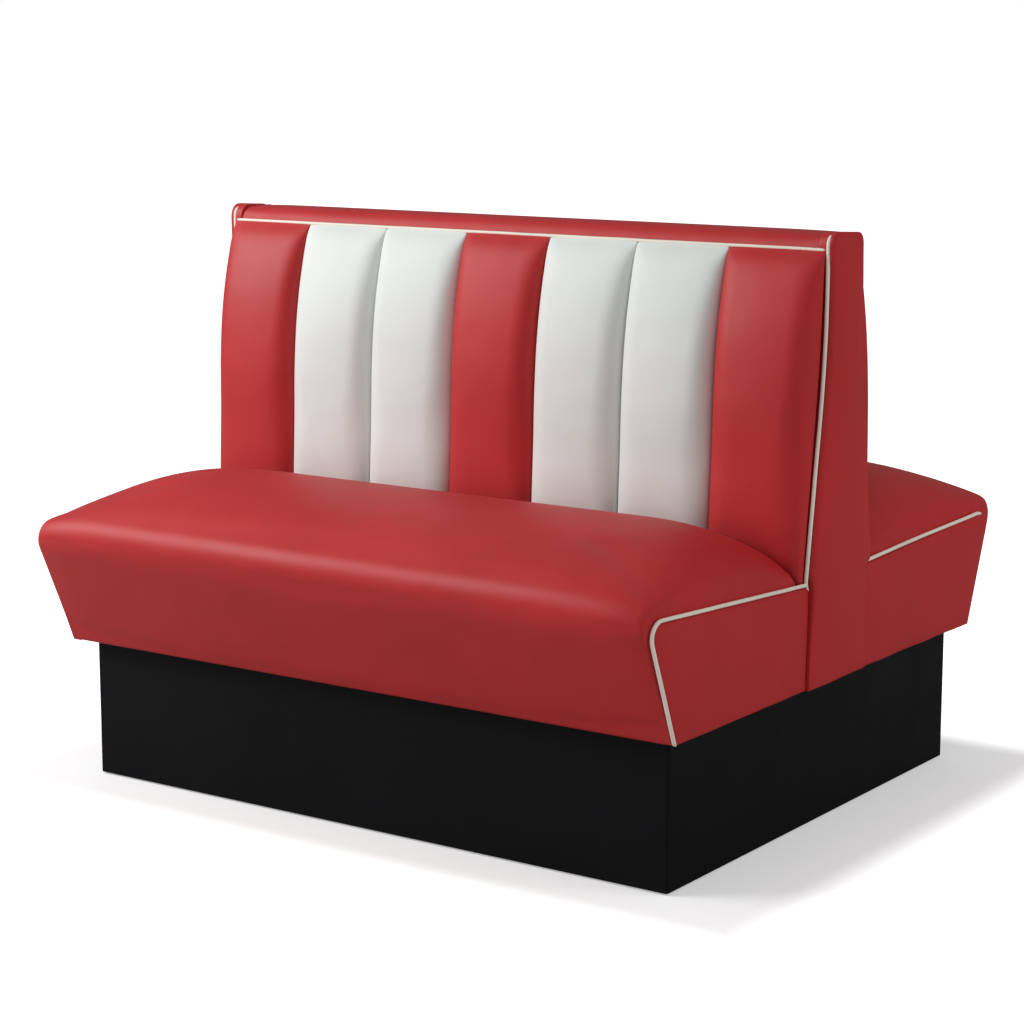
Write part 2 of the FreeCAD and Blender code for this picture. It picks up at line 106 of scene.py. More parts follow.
TOE_REACH = 488.0
END_NOSE = (530.4, 408.5, 24.0)
END_REAR_LEVEL = 409.0
END_TOP_RADIUS = 20000.0
CROWN_NOSE = (551.0, 440.0, 36.0)
CROWN_REAR_LEVEL = 471.5
CROWN_TOP_RADIUS = 556.0
CROWN_RUN = 200.0
REAR_SEAM_REACH = 100.0
REAR_EDGE_RADIUS = 18.0
END_REAR_REACH = 111.0
CROWN_REAR_REACH = 137.0
NOSE_RISE_POWER = 0.22
TOP_RISE_POWER = 0.60
SAGITTA_RISE_POWER = 0.28
REAR_SEAT_LIFT = 6.0

BACK_HEIGHT = 950.0
BACK_HALF_TOP = 52.0
BACK_LEAN = math.radians(8)
BACK_KNEE_LEVEL = 771.0
BACK_KNEE_RADIUS = 1430.0
BACK_CORNER_RADIUS = 20.0
BACK_HALF_FOOT = 88.0
TOP_PIPING_LEVEL = 925.0
TOP_PIPING_DIAMETER = 6.0
CHANNEL_COUNT = 7
CHANNEL_DEPTH = 67.0
CHANNEL_GAP = 0.3
CHANNEL_PITCH = 2 * COVER_HALF_WIDTH / CHANNEL_COUNT
print("seam plane at", SEW_HALF_WIDTH, "channel pitch %.1f" % CHANNEL_PITCH)

# %% [markdown]
# ## The camera
#
# A camera placed by eye would make every comparison a guess, so this one was worked out from the
# straight edges of the plinth: three directions that are square to each other fix the lens, the
# tilt and the place. It stands about four and a half metres away, a little above the seat, so the
# far edges shrink only gently.

# %% Camera
CAMERA_PLACE = (2465.8, -3580.2, 1244.7)
CAMERA_AZIMUTH = math.radians(34.879)
CAMERA_ELEVATION = math.radians(10.399)
CAMERA_LENS = 90.816


def add_camera():
    camera = bpy.data.objects.new("camera", bpy.data.cameras.new("camera"))
    bpy.context.scene.collection.objects.link(camera)
    camera.data.lens = CAMERA_LENS
    camera.location = [mm(value) for value in CAMERA_PLACE]
    flat = math.cos(CAMERA_ELEVATION)
    back = Vector((
        math.sin(CAMERA_AZIMUTH) * flat,
        -math.cos(CAMERA_AZIMUTH) * flat,
        math.sin(CAMERA_ELEVATION),
    ))
    camera.rotation_euler = (-back).to_track_quat("-Z", "Y").to_euler()
    bpy.context.scene.camera = camera
    return camera


camera = add_camera()
print("camera lens %.1f mm" % camera.data.lens)

# %% [markdown]
# ## Mesh helpers
#
# Almost every piece of upholstery is a skin carried over a row of cross sections. It could be
# pulled from a box by hand, but then no size could be read back. Here a ring of points is one
# section, and a loft joins the rings with four-sided faces, which bend smoothly and suit a cloth
# simulation. Rings that touch along part of their length are welded afterwards.

# %% Lofted forms
WELD_DISTANCE = 0.05


def make_object(name, points, faces):
    # A point is x, y, z in millimetres and how firmly it is held: 0 is free, 1 or nothing is fast
    mesh = bpy.data.meshes.new(name)
    mesh.from_pydata([[mm(value) for value in point[:3]] for point in points], [], faces)
    held = mesh.attributes.new("held", "FLOAT", "POINT")
    held.data.foreach_set("value", [float(point[3]) if len(point) > 3 else 1.0 for point in points])
    form = bmesh.new()
    form.from_mesh(mesh)
    bmesh.ops.remove_doubles(form, verts=form.verts, dist=mm(WELD_DISTANCE))
    bmesh.ops.recalc_face_normals(form, faces=form.faces)
    form.to_mesh(mesh)
    form.free()
    mesh.shade_smooth()
    piece = bpy.data.objects.new(name, mesh)
    bpy.context.scene.collection.objects.link(piece)
    return piece


def loft(name, rings):
    count = len(rings[0])
    points = [point for ring in rings for point in ring]
    faces = []
    for row in range(len(rings) - 1):
        for column in range(count):
            a = row * count + column
            b = row * count + (column + 1) % count
            faces.append((a, b, b + count, a + count))
    # Strips from side to side close each end, because one face with many corners bends badly
    for first in (0, (len(rings) - 1) * count):
        for k in range((count - 1) // 2):
            strip = (first + k, first + k + 1, first + count - 2 - k, first + count - 1 - k)
            faces.append(strip if len(set(strip)) == 4 else strip[:3])
    return make_object(name, points, faces)


def on_circle(centre, radius, angle):
    return (centre[0] + radius * math.cos(angle), centre[1] + radius * math.sin(angle))


def angle_to(centre, target):
    return math.atan2(target[1] - centre[1], target[0] - centre[0])


def between(a, b, share):
    return tuple(x + (y - x) * share for x, y in zip(a, b))


def line_points(a, b, steps):
    # Points from a up to, but not at, b
    return [between(a, b, step / steps) for step in range(steps)]


def arc_points(centre, radius, start, stop, steps):
    # Points of an arc up to, but not at, its end
    turn = stop - start
    return [on_circle(centre, radius, start + turn * step / steps) for step in range(steps)]


def whole_arc(centre, radius, start, stop, steps):
    return arc_points(centre, radius, start, stop, steps) + [on_circle(centre, radius, stop)]


def levels_between(low, high, steps):
    return [low + (high - low) * step / steps for step in range(steps + 1)]


def flipped(path):
    # The same path on the other side of the middle, walked the other way
    return [(-y, z) for y, z in reversed(path)]


def eased(value, low, high):
    # From 0 to 1 between two values, with a soft start and end
    share = min(1, max(0, (value - low) / (high - low)))
    return share * share * (3 - 2 * share)


def turned(rings):
    # The same rings for the rear side, half a turn round the middle
    return [[(-p[0], -p[1]) + tuple(p[2:]) for p in ring] for ring in rings]

# %% [markdown]
# ## The seat's profile
#
# Cut across, a seat is a straight front that leans out, a round nose and one long crown that comes
# down into the valley at the backrest. The nose circle touches both the front line and the crown
# circle, so the profile has no corner. Three rises say how far a section is on its way from the end
# seam to the full crown: the nose fills out within a hand's width, and the rear more slowly.

# %% Seat profile
def seat_profile(nose_rise=0, top_rise=0, sagitta_rise=0, lift=0):
    # lift: how much higher the seat meets the backrest
    nose_y, nose_z, nose_radius = (a + nose_rise * (b - a) for a, b in zip(END_NOSE, CROWN_NOSE))
    nose = (-nose_y, nose_z)
    toe = (-TOE_REACH, BODY_FOOT)
    lean = angle_to(toe, nose) + math.asin(nose_radius / math.dist(toe, nose))
    top_radius = 1 / ((1 - sagitta_rise) / END_TOP_RADIUS + sagitta_rise / CROWN_TOP_RADIUS)
    rear_level = END_REAR_LEVEL + lift + top_rise * (CROWN_REAR_LEVEL - END_REAR_LEVEL)
    rear = (-REAR_SEAM_REACH, rear_level)
    gap = math.dist(nose, rear)
    along = ((top_radius - nose_radius) ** 2 - top_radius ** 2 + gap ** 2) / (2 * gap)
    aside = math.sqrt((top_radius - nose_radius) ** 2 - along ** 2)
    unit = ((rear[0] - nose[0]) / gap, (rear[1] - nose[1]) / gap)
    top = (
        nose[0] + unit[0] * along + unit[1] * aside,
        nose[1] + unit[1] * along - unit[0] * aside,
    )
    edge_y = -(END_REAR_REACH + nose_rise * (CROWN_REAR_REACH - END_REAR_REACH)) - REAR_EDGE_RADIUS
    fall = math.sqrt((top_radius - REAR_EDGE_RADIUS) ** 2 - (edge_y - top[0]) ** 2)
    return {
        "toe": toe,
        "lean": lean,
        "nose": (nose, nose_radius),
        "top": (top, top_radius),
        "edge": ((edge_y, top[1] + fall), REAR_EDGE_RADIUS),
    }


def front_line_at(profile, inset, z):
    # Point of the leaning front, moved in by the inset, at one level
    lean = profile["lean"]
    start_y = profile["toe"][0] + math.sin(lean) * inset
    start_z = profile["toe"][1] - math.cos(lean) * inset
    return (start_y + (z - start_z) / math.tan(lean), z)


full_profile = seat_profile(1, 1, 1)
crown_level = full_profile["top"][0][1] + full_profile["top"][1]
print("front leans out %.1f degrees," % (math.degrees(full_profile["lean"]) - 90),
      "crown %.0f mm high" % crown_level)

# %% [markdown]
# ## The seat cushions
#
# On the real seat, one panel of vinyl is stapled under the front edge, pulled up over the nose and
# the crown, and tucked down behind the backrest. It would be quick to bevel a box, but then the
# crown would be the same all along. Here each cross section gets its own profile, close together
# at the end seams, where the form changes fastest. Next to the end panels the cushion is only a
# thin skin, because the panel's own padding stands under it.
#
# The two ends of a seat differ. At the open end the cord shows all round the seam. At the shut
# end, the front left one and the rear right one, the sewer stretched the cover outwards over the
# nose, and the end panel was pushed over the cord.

# %% Sizes of the cushion's sections
# Steps up the front, round the nose, over the crown and round the rear edge
OUTER_STEPS = (18, 10, 32, 4)
INNER_STEPS = (4, 5, 8, 1)
HEEL_STEPS = 5
DECK_STEPS = 12
SKIN = 4.0
SKIN_EDGE_STOP = math.radians(50)
SIDES = {"left": -1, "right": 1}
SHUT_ENDS = (("front", "left"), ("rear", "right"))
SHUT_SHIFT = 6.0
SHUT_SHIFT_REACH = (250.0, 530.0)
STRETCHED = 40.0
# How far from a seam, and how many steps from a hem, the cover is still held
HELD_REACH = 16.0
HELD_STEPS = 3
SEAM_ROWS = (0, 1, 2.5, 4.5, 7.5)
CROWN_ROWS = (14, 19, 25, 33, 43, 55)
ROW_COUNT = 74
END_BOARD_TOP = front_line_at(seat_profile(), BOARD_INSET, DECK_TOP)
END_BOARD_FOOT = front_line_at(seat_profile(), BOARD_INSET, BODY_FOOT)


def rises(distance):
    share = min(1, distance / CROWN_RUN)
    base = 1 - (1 - share) ** 2
    if base <= 0:
        return 0, 0, 0
    return base ** NOSE_RISE_POWER, base ** TOP_RISE_POWER, base ** SAGITTA_RISE_POWER


print("50 mm from the seam the nose has risen by %.0f%%" % (100 * rises(50)[0]))


# %% One section of a cushion
def skin_path(profile, inset, steps, edge_stop):
    nose, nose_radius = profile["nose"]
    top, top_radius = profile["top"]
    edge, edge_radius = profile["edge"]
    outward = profile["lean"] + math.pi / 2
    to_nose, to_edge = angle_to(top, nose), angle_to(top, edge)
    touch = on_circle(nose, nose_radius - inset, outward)
    path = line_points(front_line_at(profile, inset, BODY_FOOT), touch, steps[0])
    path += arc_points(nose, nose_radius - inset, outward, to_nose, steps[1])
    path += arc_points(top, top_radius - inset, to_nose, to_edge, steps[2])
    path += arc_points(edge, edge_radius - inset, to_edge, edge_stop, steps[3])
    return path, on_circle(edge, edge_radius - inset, edge_stop)


def shut_shift(y):
    return SHUT_SHIFT * eased(abs(y), *SHUT_SHIFT_REACH)


def cushion_ring(x, full, lift):
    distance = COVER_HALF_WIDTH - abs(x)
    profile = seat_profile(*rises(distance), lift)
    stretch = eased(-x, COVER_HALF_WIDTH - STRETCHED, COVER_HALF_WIDTH)
    path, end = skin_path(profile, 0, OUTER_STEPS, 0 if full else SKIN_EDGE_STOP)
    # The lower edge is rounded in two small steps
    hem = [
        front_line_at(profile, SKIN, BODY_FOOT),
        front_line_at(profile, SKIN / 4, BODY_FOOT + SKIN / 4),
    ]
    path[0] = front_line_at(profile, 0, BODY_FOOT + SKIN)
    if full:
        heel = (end[0], DECK_TOP)
        inner = line_points(end, heel, HEEL_STEPS)
        inner += line_points(heel, END_BOARD_TOP, DECK_STEPS)
        inner += line_points(END_BOARD_TOP, END_BOARD_FOOT, sum(INNER_STEPS) - DECK_STEPS)
        inner.append(END_BOARD_FOOT)
    else:
        back, last = skin_path(profile, SKIN, INNER_STEPS, SKIN_EDGE_STOP)
        inner = line_points(end, last, HEEL_STEPS) + [last] + back[::-1]
    hold = 1 - eased(distance, 0, HELD_REACH)
    points = [(y, z, 1) for y, z in hem]
    points += [(y, z, max(hold, 1 - step / HELD_STEPS)) for step, (y, z) in enumerate(path)]
    points += [(y, z, 1) for y, z in inner]
    return [(x - stretch * shut_shift(y), y, z, held) for y, z, held in points]


print("a section has", len(cushion_ring(0, True, 0)), "points")


# %% Both cushions
def cushion_rings(lift=0):
    thin = [(COVER_HALF_WIDTH - distance, False) for distance in SEAM_ROWS] + [(PANEL_BACK, False)]
    wide = [(PANEL_BACK, True)] + [(COVER_HALF_WIDTH - distance, True) for distance in CROWN_ROWS]
    half = wide[-1][0]
    middle = [(half - 2 * half * step / ROW_COUNT, True) for step in range(1, ROW_COUNT)]
    right = thin + wide
    left = [(-x, full) for x, full in reversed(right)]
    return [cushion_ring(x, full, lift) for x, full in right + middle + left]


front_cushion = loft("front_cushion", cushion_rings())
rear_cushion = loft("rear_cushion", turned(cushion_rings(REAR_SEAT_LIFT)))
print("a cushion has", len(front_cushion.data.polygons), "faces")

# %% [markdown]
# ## The channels of the backrest
#
# A channelled back is sewn from upright strips, each stuffed on its own, so every channel is a
# sausage that presses on its neighbours: straight where it is squeezed, round where it is free.
# Half a tube would be quicker, but its sides would leave open valleys. The depth was read from the
# photograph's outline. It is fullest at two thirds of the way up, and at the top the channels roll
# over sharply and go under the piping. One table gives the depth, and a smooth curve runs through
# it.

# %% Sizes of the channels
CHANNEL_FOOT, CHANNEL_TOP = (corner.z * 1000 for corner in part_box("front_channel_1"))
# Share of the height, share of the full depth
CHANNEL_DEPTHS = (
    (0.0, 0.25), (0.06, 0.38), (0.14, 0.51), (0.24, 0.63), (0.36, 0.76), (0.46, 0.88), (0.55, 0.97),
    (0.66, 1.0), (0.76, 0.93), (0.84, 0.79), (0.91, 0.60), (0.96, 0.41), (0.985, 0.22), (1.0, 0.06),
)
# Shares of the depth: the flank that is pressed flat, and the radius of the shoulder
CHANNEL_FLANK = 0.46
CHANNEL_SHOULDER = 0.50
SHOULDER_WIDTH = 36.0
CHANNEL_ROWS = 66
SEAM_DEPTH = 1.0
# How far an outermost channel leans out to the cord: at its back, and more where it is deep
OUTER_SPREAD, OUTER_SWELL = 1.4, 3.2
# No two channels are stuffed quite alike: a little more or less, a little higher or lower
STUFFING_SPREAD, LEVEL_SPREAD = 0.015, 0.012
HELD_ROWS = 3
SHOULDER_STEPS = 5
CREST_STEPS = 8


def smooth_value(table, share):
    # Cubic curve through the table, whose slope at a point is that of the line past its neighbours
    last = len(table) - 1
    k = max(i for i in range(last) if table[i][0] <= share)
    slopes = []
    for i in (k, k + 1):
        before, after = table[max(0, i - 1)], table[min(last, i + 1)]
        slopes.append((after[1] - before[1]) / (after[0] - before[0]))
    (x0, y0), (x1, y1) = table[k], table[k + 1]
    width = x1 - x0
    t = (share - x0) / width
    return (
        y0 * (1 + 2 * t) * (1 - t) ** 2 + slopes[0] * width * t * (1 - t) ** 2
        + y1 * t * t * (3 - 2 * t) - slopes[1] * width * t * t * (1 - t)
    )


def back_reach(inset, z):
    # Half depth of the backrest at one level: upright at the top, a knee, then leaning out
    tangent = BACK_KNEE_RADIUS * math.tan(BACK_LEAN / 2)
    if z >= BACK_KNEE_LEVEL + tangent:
        return BACK_HALF_TOP - inset
    if z <= BACK_KNEE_LEVEL - tangent * math.cos(BACK_LEAN):
        leant = (BACK_KNEE_LEVEL - z) * math.tan(BACK_LEAN)
        return BACK_HALF_TOP + leant - inset / math.cos(BACK_LEAN)
    rise = BACK_KNEE_LEVEL + tangent - z
    return BACK_HALF_TOP + BACK_KNEE_RADIUS - math.sqrt((BACK_KNEE_RADIUS + inset) ** 2 - rise ** 2)


print("half way up, a channel is %.0f mm deep"
      % (CHANNEL_DEPTH * smooth_value(CHANNEL_DEPTHS, 0.5)))


# %% One section of a channel
def channel_ring(place, depth, z, outer, held):
    # outer: 1 or -1 where that side has no neighbour and swells out to the cord, or 0
    back = -(back_reach(0, z) + CHANNEL_GAP)
    flank, shoulder = CHANNEL_FLANK * depth, CHANNEL_SHOULDER * depth
    # The section is drawn with round shoulders, then widened until the shoulder has its full width
    widen = SHOULDER_WIDTH / shoulder
    half = (CHANNEL_PITCH - CHANNEL_GAP) / 2 / widen
    turn = 2 * math.atan((depth - flank - shoulder) / (half - shoulder))
    crest = shoulder + (half - shoulder) / math.sin(turn)
    meet = math.pi / 2 - turn
    rounding = arc_points((half - shoulder, flank), shoulder, 0, meet, SHOULDER_STEPS)
    rounding += arc_points((0, depth - crest), crest, meet, math.pi / 2, CREST_STEPS)
    side = [(half, 0, 1), (half, flank / 2, 1)] + [(x, deep, 0) for x, deep in rounding]
    other = [(-x, deep, hold) for x, deep, hold in reversed(side)]
    back_row = [(-half / 2, 0, 1), (0, 0, 1), (half / 2, 0, 1)]
    points = side + [(0, depth, 0)] + other + back_row
    ring = []
    for x, deep, hold in points:
        spread = OUTER_SPREAD + OUTER_SWELL * (deep / CHANNEL_DEPTH) ** 2 if x * outer > 0 else 0
        ring.append((place + x * widen + outer * spread, back - deep, z, max(hold, held)))
    return ring


print("a section has", len(channel_ring(0, CHANNEL_DEPTH, CHANNEL_FOOT, 0, 1)), "points")


# %% All channels
def channel_rings(number, seed):
    chance = random.Random(seed)
    more = chance.uniform(-STUFFING_SPREAD, STUFFING_SPREAD)
    shift = chance.uniform(-LEVEL_SPREAD, LEVEL_SPREAD)
    place = (number - (CHANNEL_COUNT + 1) / 2) * CHANNEL_PITCH
    outer = {1: -1, CHANNEL_COUNT: 1}.get(number, 0)
    rings = []
    for row in range(CHANNEL_ROWS + 1):
        share = row / CHANNEL_ROWS
        bow = math.sin(math.pi * share)
        depth = CHANNEL_DEPTH * smooth_value(CHANNEL_DEPTHS, share + shift * bow) * (1 + more * bow)
        level = CHANNEL_FOOT + share * (CHANNEL_TOP - CHANNEL_FOOT)
        held = max(0, 1 - min(row, CHANNEL_ROWS - row) / HELD_ROWS)
        rings.append(channel_ring(place, depth, level, outer, held))
    # The vinyl runs on behind the top piping, into its seam
    return rings + [channel_ring(place, SEAM_DEPTH, TOP_PIPING_LEVEL, outer, 1)]


RED, WHITE, CORD = "red_vinyl", "white_vinyl", "piping_vinyl"
CHANNEL_SLOTS = (RED, WHITE, WHITE, RED, WHITE, WHITE, RED)
channels = {}
for number in range(1, CHANNEL_COUNT + 1):
    channels["front", number] = loft("front_channel_pad_%d" % number, channel_rings(number, number))
    rear_rings = turned(channel_rings(number, number + CHANNEL_COUNT))
    channels["rear", number] = loft("rear_channel_pad_%d" % number, rear_rings)
print(len(channels), "channels,", CHANNEL_DEPTH, "mm deep at the fullest")

# %% [markdown]
# ## The padded end panels
#
# Each end is closed by upholstered panels: one for each seat and a taller one for the backrest,
# which stands a little proud. A panel is a flat board with thin foam, so its face is level and
# only the rim rolls over. A bevelled slab would look alike, but its rim couldn't follow the seam.
# The face is a patch stretched between four curves, with its lines crowded towards the rim, and
# the distance from the rim says how far a point has rolled over.

# %% Patches between four curves
PANEL_GAP = PIPING_DIAMETER / 2 + SEAM_GAP


def sampled(path, shares):
    # Points of a path of straight runs at shares of its length
    lengths = [0.0]
    for a, b in zip(path, path[1:]):
        lengths.append(lengths[-1] + math.dist(a, b))
    points = []
    for share in shares:
        target = share * lengths[-1]
        k = max(i for i in range(len(path) - 1) if lengths[i] <= target)
        run = lengths[k + 1] - lengths[k]
        points.append(between(path[k], path[k + 1], min(1, (target - lengths[k]) / run)))
    return points


def crowded(count):
    # Shares from 0 to 1 that crowd together at both ends
    return [(1 - math.cos(math.pi * step / count)) / 2 for step in range(count + 1)]


def patch(bottom, top, left, right):
    # Points of a surface between four curves that meet at the corners, row by row
    rows = []
    v_count, u_count = len(left) - 1, len(bottom) - 1
    u_shares, v_shares = crowded(u_count), crowded(v_count)
    for j, v in enumerate(v_shares):
        row = []
        for i, u in enumerate(u_shares):
            row.append(tuple(
                (1 - v) * bottom[i][k] + v * top[i][k] + (1 - u) * left[j][k] + u * right[j][k]
                - (1 - u) * (1 - v) * bottom[0][k] - u * (1 - v) * bottom[-1][k]
                - (1 - u) * v * top[0][k] - u * v * top[-1][k]
                for k in range(2)
            ))
        rows.append(row)
    return rows


print("the panels lie %.1f mm inside the seam" % PANEL_GAP)

# %% One padded panel
PANEL_HELD_REACH = 10.0
RIM_SAMPLES = 400


def panel(name, curves, counts, side, base, lift, rim_curves=4):
    # curves: bottom, top, left and right as (y, z) paths; lift: height of the face over the base
    bottom, top = (sampled(path, crowded(counts[0])) for path in curves[:2])
    left, right = (sampled(path, crowded(counts[1])) for path in curves[2:])
    rows = patch(bottom, top, left, right)
    dense = [step / RIM_SAMPLES for step in range(RIM_SAMPLES + 1)]
    rim = [point for path in curves[:rim_curves] for point in sampled(path, dense)]
    width, height = counts[0] + 1, counts[1] + 1
    points, faces = [], []
    for j, row in enumerate(rows):
        for i, (y, z) in enumerate(row):
            edge = i in (0, width - 1) or j in (0, height - 1)
            distance = min(math.dist((y, z), other) for other in rim)
            held = 1 if edge else 1 - eased(distance, 0, PANEL_HELD_REACH)
            points.append((side * (base + lift(distance, y, z)), y, z, held))
    for j in range(height - 1):
        for i in range(width - 1):
            a = j * width + i
            faces.append((a, a + 1, a + 1 + width, a + width))
    loop = list(range(width))
    loop += [j * width + width - 1 for j in range(1, height)]
    loop += [(height - 1) * width + i for i in range(width - 2, -1, -1)]
    loop += [j * width for j in range(height - 2, 0, -1)]
    # The back is the same patch, level against the frame, and walls join the two
    start = len(points)
    points += [(side * PANEL_BACK, y, z, 1) for x, y, z, hold in points]
    faces += [tuple(start + index for index in face) for face in faces]
    for a, b in zip(loop, loop[1:] + loop[:1]):
        faces.append((a, b, start + b, start + a))
    return make_object(name, points, faces)


def rolled(distance, radius):
    # Height of a quarter round at a distance from the rim, as a share of its radius
    share = min(1, distance / radius)
    return math.sqrt(max(0, 1 - (1 - share) ** 2))


def swell(distance, reach):
    share = min(1, distance / reach)
    return 1 - (1 - share) ** 2

# %% [markdown]
# The seat's end panel follows the seat's end seam, just inside the piping. Its lower edge was
# turned under by hand and stapled, so it wanders by a millimetre. At a shut end the panel covers
# the cord round the nose and down the front, so the cord only shows along the top, and the panel
# lies flush with its neighbour. At an open end a crease parts the panels.

# %% Hand-sewn lines
HEM_WANDER = 1.2
HEM_WAVE = 70.0
CREASE_SHIFT = 3.5
CREASE_LEVELS = (270.0, 330.0)
CREASE_SEED = 9
CREASE_STEPS = 14
SHUT_RUN = 26.0


def wander(place, seed):
    return HEM_WANDER * noise.noise(Vector((place / HEM_WAVE, seed, 0)))


def hemmed(path, seed):
    # The lower edge wanders everywhere but at its corners
    return path[:1] + [(y, z + wander(y, seed)) for y, z in path[1:-1]] + path[-1:]


def crease_path(y, low, high):
    # The seam between the panels was pulled a little to the front in its lower half
    path = []
    for z in levels_between(low, high, CREASE_STEPS):
        crease = -CREASE_SHIFT * (1 - eased(z, *CREASE_LEVELS)) + wander(z, CREASE_SEED)
        path.append((y + crease, z))
    return path


def end_seam(lift):
    # Profile at the seam, the point where it meets the backrest, and its slope on the way there
    profile = seat_profile(lift=lift)
    nose, radius = profile["nose"]
    rear = (-REAR_SEAM_REACH, END_REAR_LEVEL + lift)
    return profile, rear, angle_to(nose, rear) - math.asin(radius / math.dist(nose, rear))


def shut_share(y):
    # How far a point of the top run, at a negative y, is covered: all at the nose, soon not at all
    return eased(-y, END_NOSE[0] - SHUT_RUN, END_NOSE[0])


print("the top seam falls by %.1f degrees" % -math.degrees(end_seam(0)[2]))

# %% Seat end panels
SEAT_PANEL_BASE = 593.0
SEAT_PANEL_RIM = 4.0
SEAT_PANEL_ROUND = 8.0
SEAT_PANEL_SWELL = 3.0
SEAT_PANEL_SWELL_REACH = 70.0
SEAT_PANEL_COUNTS = (44, 26)
SHUT_RIM = 9.0
SHUT_FACE = SEAT_PANEL_BASE + SHUT_RIM + SEAT_PANEL_SWELL
SHUT_GAP = 0.0
HALF_NOSE_STEPS = 12
SHUT_RUN_STEPS = 8
HEM_STEPS = 24


def seat_panel_curves(seed, shut, lift):
    profile, rear, fall = end_seam(lift)
    nose, radius = profile["nose"]
    outward, upward = profile["lean"] + math.pi / 2, fall + math.pi / 2
    half_way = (outward + upward) / 2
    gap = SHUT_GAP if shut else PANEL_GAP
    arc = radius - gap
    toe = front_line_at(profile, gap, BODY_FOOT)
    run = rear[0] + SEAT_REAR
    corner_level = rear[1] - run * math.tan(fall) - PANEL_GAP / math.cos(fall)
    right = crease_path(-SEAT_REAR, BODY_FOOT, corner_level)
    left = [toe] + whole_arc(nose, arc, outward, half_way, HALF_NOSE_STEPS)
    top = whole_arc(nose, arc, half_way, upward, HALF_NOSE_STEPS)
    if shut:
        touch = on_circle(nose, radius, upward)
        for step in range(1, SHUT_RUN_STEPS + 1):
            share = step * SHUT_RUN / SHUT_RUN_STEPS / math.dist(touch, rear)
            y, z = between(touch, rear, share)
            top.append((y, z - PANEL_GAP + (PANEL_GAP - gap) * shut_share(y)))
    top.append(right[-1])
    bottom = line_points(toe, right[0], HEM_STEPS) + [right[0]]
    return hemmed(bottom, seed), top, left, right


def seat_panel(seat, label, seed):
    shut = (seat, label) in SHUT_ENDS

    def lift(distance, y, z):
        shift = shut_shift(y) if shut else 0
        rim = SHUT_RIM - shift if shut else SEAT_PANEL_RIM
        return (shift + rim * rolled(distance, SEAT_PANEL_ROUND)
                + SEAT_PANEL_SWELL * swell(distance, SEAT_PANEL_SWELL_REACH))

    curves = seat_panel_curves(seed, shut, REAR_SEAT_LIFT if seat == "rear" else 0)
    if seat == "rear":
        curves = [[(-y, z) for y, z in path] for path in curves]
    name = "%s_seat_end_panel_%s" % (seat, label)
    # The heel of a flush panel, its fourth curve, isn't rolled over
    return panel(name, curves, SEAT_PANEL_COUNTS, SIDES[label], SEAT_PANEL_BASE, lift,
                 3 if shut else 4)


seat_panels = {}
for label in SIDES:
    for seat in ("front", "rear"):
        seat_panels[seat, label] = seat_panel(seat, label, len(seat_panels))
print(len(seat_panels), "seat end panels")

# %% [markdown]
# The panel on the end of the backrest runs from the plinth to the top. Above the seats it is as
# wide as the backrest, below them it fills the gap between the seat panels. Its padding is thicker
# from just above the seats, more so on the left, and at the top it swells over the cord and hides
# it. Two patches would be simpler to draw, but a line would show where they meet.

# %% Sizes of the backrest's end panels
BACK_CORNER = (-(BACK_HALF_TOP - BACK_CORNER_RADIUS), BACK_HEIGHT - BACK_CORNER_RADIUS)
BACK_PANEL_COUNTS = (26, 72)
BACK_PANEL_SEED = 4
BACK_SIDE_STEP = 12.0
HALF_CORNER_STEPS = 8
BACK_HEM_STEPS = 16
SHOULDER_RISE = 4.9
BACK_PANEL_BASE = 599.5
BACK_PANEL_ROUND = 9.0
BACK_PANEL_RIM_LOW = 3.5
BACK_PANEL_RIM_HIGH = {"left": 12.5, "right": 10.0}
BACK_PANEL_SWELL = 2.0
BACK_PANEL_SWELL_REACH = 60.0
THICKENS_LEVELS = (300.0, 430.0)
CORD_COVER = 3.0
CLOSE_GAP_FRONT, CLOSE_GAP_REAR = -1.5, 2.5
SHUT_SIDE_GAP = 0.0
SHUT_LEVELS = (380.0, 425.0)
CLOSE_LEVELS = (860.0, 930.0)
CORD_COVER_OUT = (1.0, 6.0)
CORD_COVER_NEAR = (4.0, 26.0)
CORD_COVER_LEVELS = (918.0, 944.0)
SHOULDER_LEVEL = END_REAR_LEVEL + SHOULDER_RISE
FLUSH_REACH = (-10.0, 50.0)
print("the panel's shoulder is at", SHOULDER_LEVEL, "mm")


# %% Edges of the backrest's end panels
def back_side_path(inset_at, low, high, step):
    levels = levels_between(low, high, math.ceil((high - low) / step))
    return [(-back_reach(inset_at(z), z), z) for z in levels]


def back_edge(close_gap, shut):
    # The side of the panel and its half of the top, at the front; the rear takes it flipped
    side_gap = SHUT_SIDE_GAP if shut else PANEL_GAP

    def gap_at(z):
        gap = PANEL_GAP + (side_gap - PANEL_GAP) * eased(z, *SHUT_LEVELS)
        return gap + (close_gap - gap) * eased(z, *CLOSE_LEVELS)

    arc = BACK_CORNER_RADIUS - close_gap
    half_way = math.pi * 3 / 4
    edge = crease_path(-BACK_HALF_FOOT, BODY_FOOT, SHOULDER_LEVEL)
    # Towards the top, the padding closes up on the cord
    edge += back_side_path(gap_at, SHOULDER_LEVEL, BACK_CORNER[1], BACK_SIDE_STEP)
    edge += whole_arc(BACK_CORNER, arc, math.pi, half_way, HALF_CORNER_STEPS)[1:]
    return edge, whole_arc(BACK_CORNER, arc, half_way, math.pi / 2, HALF_CORNER_STEPS)


